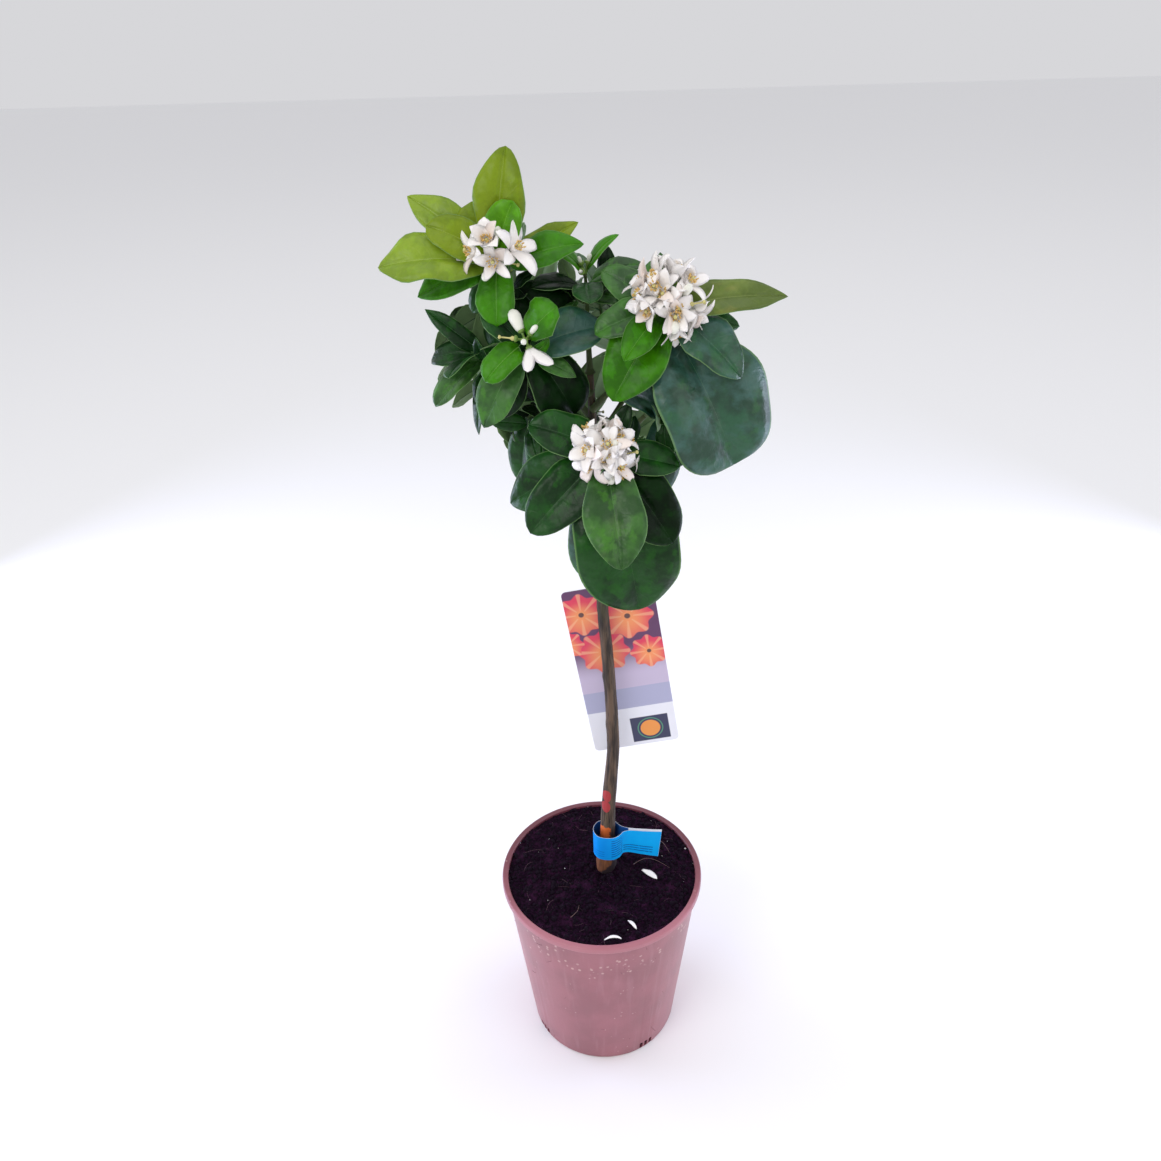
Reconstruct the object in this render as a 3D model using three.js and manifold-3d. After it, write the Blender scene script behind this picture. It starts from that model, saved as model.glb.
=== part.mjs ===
// A young citrus tree on a bare stem in a nursery pot, in blossom, with its two labels.
// Millimetres, +Z up. The origin is the middle of the pot's flat underside. The front looks along -Y.
import * as THREE from "three";
import { mergeVertices } from "three/addons/utils/BufferGeometryUtils.js";
import Module from "manifold-3d";

const wasm = await Module();
wasm.setup();

const GAP = 0.3; // clearance left between touching pieces

const pot = {
  height: 183, topRadius: 91.5, footRadius: 71.5, wall: 2, floor: 2.5, footRound: 2.5,
  lipRadius: 95, lipHeight: 6, lipInner: 89.5, facets: 40,
  drainGroups: 4, drainSlots: 3, drainWidth: 3.4, drainHeight: 9, drainPitch: 5.4, drainStart: 33,
};
const soil = { top: 182, edgeDrop: 1.4, crownRadius: 50 };

// The stem's centre line from its flat cut on the soil up to the fork, and its radius at each point.
const trunk = {
  path: [
    [4.6, 2.5, soil.top + GAP], [5, 3, 191], [5.5, 3.6, 206], [6.4, 4.2, 224], [7.6, 5, 257],
    [11, 6, 300], [12.6, 6.5, 328], [11.5, 7, 372], [8.5, 8, 425], [5, 9, 475],
    [3.5, 9.5, 530], [1.5, 10, 590], [-1, 10, 668],
  ],
  radius: [9.2, 10, 9.6, 7.2, 6.8, 6, 5.7, 5.5, 5.2, 4.8, 4.6, 4.2, 2.6],
  sides: 10, steps: 22,
};

const bough = { rootRadius: 2.5, tipRadius: 1.7, sag: 0.12, sides: 6, steps: 6 };
const twig = { rootRadius: 1.6, tipRadius: 1.1, stem: 7, sides: 3, steps: 3 };
const leaf = {
  petiole: 0.13, stalk: 1.6, thickness: 0.013, fold: 0.14, widest: 0.55, blunt: 0.54, rings: [0.2, 0.5, 0.8],
  turn: 135, turnJitter: 9, lowLean: 88, tipLean: 58, guard: 0.7,
};
const truss = { base: 10, perFlower: 1.7, ahead: 7, spread: 100, notch: 0.5, heel: 4 };

// Each mass of foliage: where its bough leaves the stem, where the bough ends, and the shoots that grow on
// from there. A shoot has its tip and the way the tip points. Its shown leaves, counted up from its foot,
// are clock angle seen from the tip (0 right, 90 up), lean off the tip's way, length and width. The other
// leaves are lengths alone: they follow the spiral, which starts at the roll, and their width is a share
// of their length.
const masses = [
  { name: "upper_left", fork: 652, tip: [-38, -2, 706], shoots: [
    { tip: [-62, -12, 752], aim: [-0.1, -0.92, 0.38], flowers: 7, shown: [
      [312, 118, 70, 46], [28, 107, 56, 22], [146, 97, 70, 28], [240, 112, 36, 20], [4, 104, 54, 27],
      [181, 91, 72, 41], [110, 95, 40, 34], [83, 80, 64, 34], [204, 81, 56, 30], [157, 83, 46, 30],
      [273, 86, 40, 27], [60, 72, 36, 28],
    ] },
    { tip: [-70, 34, 722], aim: [-0.5, 0.7, 0.5], roll: 60, wide: 0.58, leaves: [60, 58, 54, 50, 46, 42] },
  ] },
  { name: "left", fork: 622, tip: [-42, -12, 664], shoots: [
    { tip: [-44, -42, 706], aim: [0.05, -0.88, 0.42], flowers: 3, shown: [
      [244, 136, 62, 26], [10, 107, 52, 38], [134, 100, 36, 24], [303, 120, 58, 42], [240, 112, 60, 28],
      [224, 91, 35, 23], [38, 62, 29, 28],
    ] },
    { tip: [-80, -14, 690], aim: [-0.7, -0.6, 0.3], shown: [
      [90, 100, 46, 26], [268, 109, 54, 16], [147, 56, 42, 15], [272, 58, 42, 30], [317, 40, 36, 22],
      [204, 42, 40, 28],
    ] },
    { tip: [-78, 16, 664], aim: [-0.9, 0.2, 0.1], roll: 70, wide: 0.52, leaves: [48, 46, 42, 38, 34] },
  ] },
  { name: "upper_middle", fork: 667, tip: [-2, 8, 700], shoots: [
    { tip: [-3, 4, 738], aim: [-0.05, -0.5, 0.86], flowers: 1, shown: [
      [328, 98, 42, 26], [200, 96, 36, 26], [10, 92, 38, 22], [279, 83, 32, 22], [173, 50, 26, 18],
      [21, 48, 32, 16],
    ] },
    { tip: [18, 24, 714], aim: [0.1, -0.3, 0.95], roll: 60, wide: 0.55, leaves: [44, 42, 38, 34, 30] },
  ] },
  { name: "upper_right", fork: 640, tip: [34, -10, 690], shoots: [
    { tip: [49, -36, 724], aim: [0.1, -0.88, 0.46], flowers: 12, shown: [
      [90, 118, 38, 24], [141, 112, 48, 26], [346, 106, 50, 22], [293, 107, 106, 84], [90, 98, 34, 16],
      [0, 90, 74, 28], [197, 100, 46, 27], [312, 92, 62, 36], [236, 100, 63, 42], [222, 88, 45, 23],
    ] },
    { tip: [62, 22, 698], aim: [0.5, 0.6, 0.6], roll: 100, wide: 0.54, leaves: [58, 56, 52, 46, 40, 34] },
  ] },
  { name: "right", fork: 606, tip: [38, -4, 638], shoots: [
    { tip: [54, -22, 648], aim: [0.5, -0.8, 0.2], roll: 250, wide: 0.52, leaves: [60, 58, 54, 50, 44] },
    { tip: [76, 20, 662], aim: [0.85, 0.3, 0.4], roll: 40, wide: 0.58, leaves: [66, 62, 58, 52, 46, 42] },
  ] },
  { name: "lower_front", fork: 574, tip: [8, -32, 606], shoots: [
    { tip: [7, -62, 634], aim: [0, -0.93, 0.37], flowers: 10, shown: [
      [61, 97, 34, 17], [143, 106, 50, 26], [350, 114, 56, 22], [317, 112, 52, 28], [281, 106, 108, 78],
      [262, 107, 96, 52], [201, 109, 74, 40], [232, 104, 68, 40], [160, 90, 50, 32], [299, 100, 70, 42],
      [341, 97, 46, 26], [276, 92, 78, 44],
    ] },
  ] },
  { name: "lower_left", fork: 590, tip: [-30, 4, 614], shoots: [
    { tip: [-46, -4, 640], aim: [-0.45, -0.7, -0.1], shown: [
      [120, 95, 44, 26], [206, 100, 36, 22], [320, 95, 44, 24], [255, 95, 50, 26], [285, 90, 50, 16],
    ] },
  ] },
  { name: "back_left", fork: 632, tip: [-30, 46, 670], shoots: [
    { tip: [-42, 80, 696], aim: [-0.3, 0.8, 0.5], flowers: 6, roll: 280, wide: 0.56,
      leaves: [70, 66, 62, 58, 52, 44, 36] },
    { tip: [-80, 54, 676], aim: [-0.8, 0.4, 0.3], roll: 120, wide: 0.56, leaves: [60, 58, 54, 48, 42] },
  ] },
  { name: "back_right", fork: 614, tip: [34, 48, 650], shoots: [
    { tip: [42, 82, 670], aim: [0.3, 0.8, 0.5], flowers: 7, roll: 250, wide: 0.56,
      leaves: [72, 68, 64, 58, 50, 42, 36] },
    { tip: [78, 56, 668], aim: [0.75, 0.4, 0.5], roll: 30, wide: 0.56, leaves: [60, 58, 54, 48, 42] },
  ] },
  { name: "back_low", fork: 562, tip: [-2, 46, 596], shoots: [
    { tip: [-6, 80, 606], aim: [-0.05, 0.9, 0.35], flowers: 6, roll: 285, wide: 0.58,
      leaves: [80, 76, 72, 64, 56, 46, 38] },
    { tip: [36, 62, 600], aim: [0.7, 0.5, 0.2], roll: 240, wide: 0.54, leaves: [62, 58, 54, 48] },
    { tip: [-40, 48, 606], aim: [-0.8, 0.3, 0.3], roll: 100, wide: 0.54, leaves: [60, 56, 52, 46] },
  ] },
];

const plainShoot = { flowers: 0, roll: 0, wide: 0.5, leaves: [], shown: [] };
for (const mass of masses) mass.shoots = mass.shoots.map((shoot) => ({ ...plainShoot, ...shoot }));

const tag = {
  height: 28, low: 203.5, thick: 0.8, loopRadius: 12.5, flagLength: 38.5, flagEnd: 9,
  forward: 7, flare: 2.5, slant: 3,
};
const card = {
  width: 77, height: 170, thick: 0.8, corner: 4, behind: 12, turn: 9, hole: 474, holeDown: 9, slot: [11, 6],
};
const strap = { ring: 506, aside: 6, thick: 1.2, tall: 4, wide: 7, tongue: 3, head: [12, 1.4, 8] };

const up = new THREE.Vector3(0, 0, 1);
const vector = (p) => new THREE.Vector3(...p);
const radians = THREE.MathUtils.degToRad;
const mix = THREE.MathUtils.lerp;

// Draws from 0 to 1 by the Park and Miller rule, the same on every run.
function dice(seed) {
  let state = seed;
  return () => {
    state = (state * 16807) % 2147483647;
    return state / 2147483647;
  };
}

// A closed solid from a three.js geometry whose vertices are first merged and then moved by place(point).
function solidFrom(geometry, place) {
  const bare = geometry.clone();
  bare.deleteAttribute("normal");
  bare.deleteAttribute("uv");
  const merged = mergeVertices(bare, 1e-4);
  const spots = merged.attributes.position;
  const moved = new Float32Array(spots.count * 3);
  for (let i = 0; i < spots.count; i++) {
    const point = new THREE.Vector3().fromBufferAttribute(spots, i);
    (place ? place(point) : point).toArray(moved, i * 3);
  }
  return new wasm.Manifold(
    new wasm.Mesh({ numProp: 3, vertProperties: moved, triVerts: new Uint32Array(merged.index.array) }),
  );
}

function meshFrom(name, solid, material) {
  const made = solid.getMesh();
  const geometry = new THREE.BufferGeometry();
  geometry.setAttribute("position", new THREE.BufferAttribute(made.vertProperties, 3));
  geometry.setIndex(new THREE.BufferAttribute(made.triVerts, 1));
  geometry.computeVertexNormals();
  const mesh = new THREE.Mesh(geometry, material);
  mesh.name = name;
  return mesh;
}

// Joins solids and keeps the largest body that comes of it.
function fused(solids) {
  const bodies = wasm.Manifold.union(solids).decompose();
  return bodies.reduce((best, body) => (body.volume() > best.volume() ? body : best));
}

// The rings of a round limb along a path: a ring is its centre, its two cross directions and its radius.
function limbRings(path, radiusAt, steps) {
  const ends = path(1).clone().sub(path(0));
  const aside = Math.abs(ends.z) > 0.75 * ends.length() ? vector([0, 1, 0]) : up;
  const rings = [];
  for (let i = 0; i <= steps; i++) {
    const t = i / steps;
    const along = path(Math.min(1, t + 0.01)).sub(path(Math.max(0, t - 0.01))).normalize();
    const side = along.clone().cross(aside).normalize();
    rings.push({ centre: path(t), side, over: side.clone().cross(along), radius: radiusAt(t) });
  }
  return rings;
}

// A cylinder of three.js bent so that its rings fall on the limb's rings, grown by extra all round.
function limbSolid(rings, sides, extra = 0) {
  const steps = rings.length - 1;
  return solidFrom(new THREE.CylinderGeometry(1, 1, 1, sides, steps), (p) => {
    const ring = rings[Math.round((p.y + 0.5) * steps)];
    const reach = ring.radius + extra;
    return ring.centre.clone()
      .addScaledVector(ring.side, p.x * reach)
      .addScaledVector(ring.over, p.z * reach);
  });
}

const curveThrough = (points) => {
  const curve = new THREE.CatmullRomCurve3(points.map(vector), false, "catmullrom", 0.5);
  return (t) => curve.getPoint(t);
};
const bow = (from, bend, to) => {
  const curve = new THREE.QuadraticBezierCurve3(from, bend, to);
  return (t) => curve.getPoint(t);
};

const trunkPath = curveThrough(trunk.path);
function trunkRadius(t) {
  const place = Math.min(t, 0.99999) * (trunk.radius.length - 1);
  const low = Math.floor(place);
  return mix(trunk.radius[low], trunk.radius[low + 1], place - low);
}
function trunkAt(height) {
  let low = 0;
  let high = 1;
  for (let i = 0; i < 30; i++) {
    const middle = (low + high) / 2;
    if (trunkPath(middle).z < height) low = middle;
    else high = middle;
  }
  return low;
}
const trunkRings = limbRings(trunkPath, trunkRadius, trunk.steps);
// The cut on the soil is level.
Object.assign(trunkRings[0], { side: vector([-1, 0, 0]), over: vector([0, 1, 0]) });

function boughPath(mass) {
  const from = trunkPath(trunkAt(mass.fork));
  const to = vector(mass.tip);
  const bend = from.clone().lerp(to, 0.5).addScaledVector(up, -bough.sag * from.distanceTo(to));
  return bow(from, bend, to);
}
const boughRings = (mass) =>
  limbRings(boughPath(mass), (t) => mix(bough.rootRadius, bough.tipRadius, t), bough.steps);

// A mass starts as one short stem just clear of its bough's tip, and its shoots branch from inside that.
function stemPath(mass) {
  const path = boughPath(mass);
  const way = path(1).sub(path(0.99)).normalize();
  const from = vector(mass.tip).addScaledVector(way, GAP);
  return (t) => from.clone().addScaledVector(way, twig.stem * t);
}
function shootPath(mass, shoot) {
  const from = stemPath(mass)(0.7);
  const to = vector(shoot.tip);
  const aim = vector(shoot.aim).normalize();
  return bow(from, to.clone().addScaledVector(aim, -0.45 * from.distanceTo(to)), to);
}
const twigRings = (path) => limbRings(path, (t) => mix(twig.rootRadius, twig.tipRadius, t), twig.steps);

// A blade's half width at a share t of its length, as a share of its greatest half width.
function outline(t) {
  const shape = (s) => Math.pow(s, leaf.widest) * Math.pow(1 - s, leaf.blunt);
  return shape(t) / shape(leaf.widest / (leaf.widest + leaf.blunt));
}

// The point, outward way and normal on a leaf's midrib: a straight stalk, then an arc that bends down.
function midrib(blade, t) {
  const stalk = blade.root.clone().addScaledVector(blade.way, blade.length * leaf.petiole);
  const angle = blade.droop * t;
  const reach = blade.length / blade.droop;
  const centre = stalk
    .addScaledVector(blade.way, reach * Math.sin(angle))
    .addScaledVector(blade.face, -reach * (1 - Math.cos(angle)));
  const face = blade.face.clone().multiplyScalar(Math.cos(angle)).addScaledVector(blade.way, Math.sin(angle));
  return { centre, face };
}

// The rings of a leaf: left edge, crown, right edge and keel at the stalk, along the blade and at the tip.
function leafRings(blade, extra = 0) {
  const across = blade.face.clone().cross(blade.way);
  const rings = [];
  const ring = (centre, face, half, rise, thick) =>
    rings.push([
      centre.clone().addScaledVector(across, half + extra).addScaledVector(face, rise),
      centre.clone().addScaledVector(face, thick / 2 + extra),
      centre.clone().addScaledVector(across, -half - extra).addScaledVector(face, rise),
      centre.clone().addScaledVector(face, -thick / 2 - extra),
    ]);
  ring(blade.root, blade.face, leaf.stalk / 2, 0, leaf.stalk);
  ring(midrib(blade, 0).centre, blade.face, leaf.stalk / 2, 0, leaf.stalk * 0.7);
  for (const t of leaf.rings) {
    const { centre, face } = midrib(blade, t);
    const half = (blade.width / 2) * outline(t);
    ring(centre, face, half, half * leaf.fold, blade.length * leaf.thickness);
  }
  const { centre, face } = midrib(blade, 1);
  ring(centre, face, 0, 0, 0);
  return rings;
}

// A four-sided cone laid over a leaf's rings, its point at the leaf's tip.
function ringSolid(rings) {
  const steps = rings.length - 1;
  return solidFrom(new THREE.ConeGeometry(1, 1, 4, steps), (p) => {
    const level = Math.round((p.y + 0.5) * steps);
    const ring = rings[level];
    if (Math.hypot(p.x, p.z) < 0.5 / steps) return ring[1].clone().add(ring[3]).multiplyScalar(0.5);
    return ring[Math.round(Math.atan2(p.x, p.z) / (Math.PI / 2) + 4) % 4].clone();
  });
}

// The triangles and edges that stand for a tube of rings when pieces are tested against each other.
function guardOf(rings) {
  const triangles = [];
  const edges = [];
  const sides = rings[0].length;
  for (let i = 0; i < rings.length; i++)
    for (let j = 0; j < sides; j++) {
      const next = (j + 1) % sides;
      edges.push([rings[i][j], rings[i][next]]);
      if (i + 1 === rings.length) continue;
      edges.push([rings[i][j], rings[i + 1][j]]);
      triangles.push([rings[i][j], rings[i][next], rings[i + 1][next]]);
      triangles.push([rings[i][j], rings[i + 1][next], rings[i + 1][j]]);
    }
  return { triangles, edges, box: new THREE.Box3().setFromPoints(rings.flat()) };
}
const limbGuard = (rings, sides, extra) =>
  guardOf(rings.map((ring) =>
    Array.from({ length: sides }, (_, j) => {
      const angle = (2 * Math.PI * j) / sides;
      return ring.centre.clone()
        .addScaledVector(ring.side, (ring.radius + extra) * Math.sin(angle))
        .addScaledVector(ring.over, (ring.radius + extra) * Math.cos(angle));
    })));

// Whether a straight edge passes through a triangle.
function pierces([from, to], [a, b, c]) {
  const run = to.clone().sub(from);
  const ab = b.clone().sub(a);
  const ac = c.clone().sub(a);
  const p = run.clone().cross(ac);
  const scale = ab.dot(p);
  if (Math.abs(scale) < 1e-9) return false;
  const s = from.clone().sub(a);
  const u = s.dot(p) / scale;
  if (u < 0 || u > 1) return false;
  const q = s.cross(ab);
  const v = run.dot(q) / scale;
  const t = ac.dot(q) / scale;
  return v >= 0 && u + v <= 1 && t >= 0 && t <= 1;
}
function touch(one, other) {
  if (!one.box.intersectsBox(other.box)) return false;
  const through = (a, b) => a.edges.some((edge) => b.triangles.some((triangle) => pierces(edge, triangle)));
  return through(one, other) || through(other, one);
}

// A shoot's frame at a share of its length: its way, and the right and upward directions seen from its tip.
function frameAt(path, t) {
  const along = path(Math.min(1, t + 0.02)).sub(path(t - 0.02)).normalize();
  const side = up.clone().cross(along).normalize();
  return { along, side, over: along.clone().cross(side) };
}

// A shoot's leaves from its foot to its tip: the shown ones as listed, the others round the spiral.
function bladesOf(shoot, path, random) {
  const count = shoot.shown.length + shoot.leaves.length;
  const asListed = ([turn, lean, length, width]) => ({ turn, lean, length, width, shown: true });
  const shown = shoot.shown.map(asListed);
  const spiral = shoot.leaves.map((length, i) => ({
    turn: shoot.roll + leaf.turn * i + leaf.turnJitter * (2 * random() - 1),
    lean: mix(leaf.lowLean, leaf.tipLean, i / shoot.leaves.length) + 8 * (2 * random() - 1),
    length,
    width: length * shoot.wide * (0.9 + 0.2 * random()),
    shown: false,
  }));
  return [...shown, ...spiral].map((blade, i) => {
    const t = mix(shoot.shown.length ? 0.5 : 0.35, 0.97, i / (count - 1));
    const frame = frameAt(path, blade.shown ? 0.98 : t);
    const base = path(blade.shown ? 1 : t);
    return { ...blade, ...frame, root: path(t), base, droop: radians(mix(18, 50, random())) };
  });
}

// The leaf as it stands, after a nudge round the shoot, along it, and in size. A shown leaf's angles are
// measured from the shoot's tip, so its way is worked out from where its point then lies.
function posed(blade, [round, lift, shrink]) {
  const turn = radians(blade.turn + round);
  const lean = radians(blade.lean + lift);
  const reach = blade.length * shrink * (1 + leaf.petiole);
  const way = blade.along.clone().multiplyScalar(Math.cos(lean))
    .addScaledVector(blade.side, Math.sin(lean) * Math.cos(turn))
    .addScaledVector(blade.over, Math.sin(lean) * Math.sin(turn));
  const run = blade.base.clone().addScaledVector(way, reach).sub(blade.root);
  const length = run.length() / (1 + leaf.petiole);
  way.copy(run).normalize();
  const look = blade.along.clone().addScaledVector(up, 0.5);
  const face = look.addScaledVector(way, -look.dot(way)).normalize();
  const half = blade.droop / 2;
  const raised = way.clone().multiplyScalar(Math.cos(half)).addScaledVector(face, Math.sin(half));
  face.multiplyScalar(Math.cos(half)).addScaledVector(way, -Math.sin(half));
  return { ...blade, way: raised, face, length, width: blade.width * shrink };
}
const nudges = [
  [0, 0, 1], [6, 6, 1], [-6, 6, 1], [6, -8, 1], [-6, -8, 1], [0, 14, 0.95], [0, -18, 0.95], [14, 4, 0.92],
  [-14, 4, 0.92], [24, -10, 0.86], [-24, -10, 0.86], [0, -30, 0.8], [0, 24, 0.8],
];

// A truss of blossom at a shoot's tip: its middle and its reach.
function trussOf(shoot) {
  const aim = vector(shoot.aim).normalize();
  const middle = vector(shoot.tip).addScaledVector(aim, truss.ahead);
  return { aim, middle, reach: truss.base + truss.perFlower * shoot.flowers };
}

// Twelve five-sided spikes, one for each flower that faces out, over a heel that narrows into the shoot.
function trussSolid(shoot) {
  const { aim, middle, reach } = trussOf(shoot);
  const corners = new THREE.IcosahedronGeometry(1, 0).getAttribute("position");
  const isCorner = (p) =>
    Array.from({ length: corners.count }, (_, i) => new THREE.Vector3().fromBufferAttribute(corners, i))
      .some((corner) => corner.dot(p) > 0.99);
  return solidFrom(new THREE.IcosahedronGeometry(1, 1), (p) => {
    const facesOut = p.angleTo(aim) < radians(truss.spread);
    const far = isCorner(p) ? reach : reach * truss.notch;
    return middle.clone().addScaledVector(p, facesOut ? far : truss.heel);
  });
}
function trussGuard(shoot) {
  const { middle, reach } = trussOf(shoot);
  const rings = [-0.95, -0.4, 0.4, 0.95].map((height) =>
    Array.from({ length: 6 }, (_, j) => {
      const angle = (Math.PI * j) / 3;
      const flat = Math.sqrt(1 - height * height);
      const way = vector([flat * Math.cos(angle), flat * Math.sin(angle), height]);
      return middle.clone().addScaledVector(way, reach);
    }));
  return guardOf(rings);
}

// Grows every mass: its stem and twigs, the leaves that find room and its blossom.
function grow() {
  const limbs = masses.map((mass) => limbGuard(boughRings(mass), 6, leaf.guard));
  limbs.push(limbGuard(trunkRings, 8, leaf.guard));
  const placed = [];
  const grown = masses.map((mass, m) => {
    const random = dice(1000 + 77 * m);
    const stem = limbRings(stemPath(mass), () => bough.tipRadius, 1);
    const shoots = mass.shoots.map((shoot) => {
      const path = shootPath(mass, shoot);
      const rings = twigRings(path);
      placed.push({ mass: m, guard: limbGuard(rings, 4, leaf.guard) });
      if (shoot.flowers > 0) placed.push({ mass: m, guard: trussGuard(shoot) });
      return { shoot, path, rings, blades: bladesOf(shoot, path, random) };
    });
    return { mass, stem, shoots, blades: [] };
  });
  for (const pass of [true, false])
    grown.forEach((crown, m) => {
      for (const blade of crown.shoots.flatMap(({ blades }) => blades.filter(({ shown }) => shown === pass)))
        for (const nudge of nudges) {
          const tried = posed(blade, nudge);
          const rings = leafRings(tried, leaf.guard);
          const whole = guardOf(rings);
          const sheet = guardOf(rings.slice(2));
          const meets = (other) =>
            other.mass === m ? other.sheet && touch(sheet, other.sheet) : touch(whole, other.guard);
          if (limbs.some((limb) => touch(whole, limb)) || placed.some(meets)) continue;
          placed.push({ mass: m, guard: whole, sheet });
          crown.blades.push(tried);
          break;
        }
    });
  return grown;
}

const bark = new THREE.MeshStandardMaterial({ color: 0x5b5140, roughness: 0.9, metalness: 0 });
const greenWood = new THREE.MeshStandardMaterial({ color: 0x3f4a2a, roughness: 0.8, metalness: 0 });
const foliage = new THREE.MeshStandardMaterial({ color: 0x2f6b25, roughness: 0.4, metalness: 0 });
const clay = new THREE.MeshStandardMaterial({ color: 0xa57480, roughness: 0.5, metalness: 0 });
const earth = new THREE.MeshStandardMaterial({ color: 0x1d1216, roughness: 1, metalness: 0 });
const bluePaper = new THREE.MeshStandardMaterial({ color: 0x1f95e6, roughness: 0.6, metalness: 0 });
const whitePlastic = new THREE.MeshStandardMaterial({ color: 0xe9e9ec, roughness: 0.5, metalness: 0 });
const printedCard = new THREE.MeshStandardMaterial({ color: 0xe87a45, roughness: 0.4, metalness: 0 });

function potSolid() {
  const wallTop = pot.height - pot.lipHeight;
  const profile = [
    [0, 0], [pot.footRadius - pot.footRound, 0], [pot.footRadius, pot.footRound], [pot.topRadius, wallTop],
    [pot.lipRadius, wallTop], [pot.lipRadius, pot.height], [pot.lipInner, pot.height],
    [pot.footRadius - pot.wall, pot.floor], [0, pot.floor],
  ].map(([r, z]) => new THREE.Vector2(r, z));
  const turned = new THREE.LatheGeometry(profile, pot.facets);
  let body = solidFrom(turned, (p) => vector([p.x, -p.z, p.y]));
  for (let group = 0; group < pot.drainGroups; group++)
    for (let i = 0; i < pot.drainSlots; i++) {
      const step = (i - (pot.drainSlots - 1) / 2) * (pot.drainPitch / pot.footRadius);
      const angle = radians(pot.drainStart - 90) + (group * 2 * Math.PI) / pot.drainGroups + step;
      const slot = new THREE.BoxGeometry(10, pot.drainWidth, pot.drainHeight);
      slot.translate(pot.footRadius, 0, pot.drainHeight / 2 + 0.8).rotateZ(angle);
      body = body.subtract(solidFrom(slot));
    }
  return body;
}

function soilSolid() {
  const insideAt = (z) => {
    const share = (z - pot.floor) / (pot.height - pot.floor);
    return mix(pot.footRadius - pot.wall, pot.lipInner, share) - GAP;
  };
  const low = pot.floor + GAP;
  const edge = soil.top - soil.edgeDrop;
  const profile = [
    [0, low], [insideAt(low), low], [insideAt(edge), edge], [insideAt(edge) - 8, edge + 1],
    [soil.crownRadius, soil.top], [0, soil.top],
  ].map(([r, z]) => new THREE.Vector2(r, z));
  return solidFrom(new THREE.LatheGeometry(profile, pot.facets), (p) => vector([p.x, -p.z, p.y]));
}

// The blue paper tag: a strip looped loosely round the stem's foot, its two ends stuck together as a flag
// that leans forward, grows a little taller and ends on a slant.
function tagSolid() {
  const at = trunkAt(tag.low);
  const centre = trunkPath(at);
  const slack = tag.loopRadius - tag.thick - trunkRadius(at) - GAP;
  const mouth = radians(14);
  const outline = new THREE.Shape();
  outline.absarc(0, 0, tag.loopRadius, mouth, 2 * Math.PI - mouth, false);
  outline.lineTo(tag.loopRadius + tag.flagEnd, -tag.thick);
  outline.lineTo(tag.loopRadius + tag.flagLength, -tag.thick);
  outline.lineTo(tag.loopRadius + tag.flagLength, tag.thick);
  outline.lineTo(tag.loopRadius + tag.flagEnd, tag.thick);
  outline.closePath();
  const inside = new THREE.Path();
  inside.absarc(0, 0, tag.loopRadius - tag.thick, 2 * Math.PI - mouth, mouth, true);
  outline.holes.push(inside);
  const drawn = { depth: tag.height, bevelEnabled: false, curveSegments: 12 };
  const strip = new THREE.ExtrudeGeometry(outline, drawn);
  return solidFrom(strip, ({ x, y, z }) => {
    const share = Math.max(0, (x - tag.loopRadius) / tag.flagLength);
    const foot = 1 - z / tag.height;
    return vector([
      centre.x + x - tag.slant * share * foot,
      centre.y - slack + y - tag.forward * share,
      tag.low + z + tag.flare * share * (1 - foot),
    ]);
  });
}

// The strap that holds the card: a ring round the stem, a band hanging behind it, and a tongue with a broad
// head that passes through the card's slot.
function strapPlaces() {
  const at = trunkAt(strap.ring);
  const centre = trunkPath(at);
  const inside = trunkRadius(at) + GAP + 0.1;
  return { centre, inside, band: centre.x + strap.aside, cardFace: centre.y + card.behind };
}
function block([wide, deep, tall], [x, y, z]) {
  const box = new THREE.BoxGeometry(wide, deep, tall);
  box.translate(x, y, z);
  return solidFrom(box);
}
function strapSolid() {
  const { centre, inside, band, cardFace } = strapPlaces();
  const ring = new THREE.Shape();
  ring.absarc(0, 0, inside + strap.thick, 0, 2 * Math.PI, false);
  const hole = new THREE.Path();
  hole.absarc(0, 0, inside, 0, 2 * Math.PI, true);
  ring.holes.push(hole);
  const loop = new THREE.ExtrudeGeometry(ring, { depth: strap.tall, bevelEnabled: false, curveSegments: 8 });
  loop.translate(centre.x, centre.y, strap.ring - strap.tall / 2);
  const bandFace = cardFace - GAP - strap.thick / 2;
  const tall = strap.ring + strap.tall / 2 - card.hole + strap.tongue / 2;
  const arm = bandFace + strap.thick / 2 - centre.y - inside - 0.3;
  const reach = cardFace + card.thick + GAP + strap.head[1] - bandFace;
  return fused([
    solidFrom(loop),
    block(
      [strap.wide + strap.aside, arm, strap.tall],
      [centre.x + strap.aside / 2, bandFace + strap.thick / 2 - arm / 2, strap.ring],
    ),
    block([strap.wide, strap.thick, tall], [band, bandFace, card.hole - strap.tongue / 2 + tall / 2]),
    block([strap.wide, reach, strap.tongue], [band, bandFace + reach / 2, card.hole]),
    block(strap.head, [band, bandFace + reach - strap.head[1] / 2, card.hole]),
  ]);
}

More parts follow.
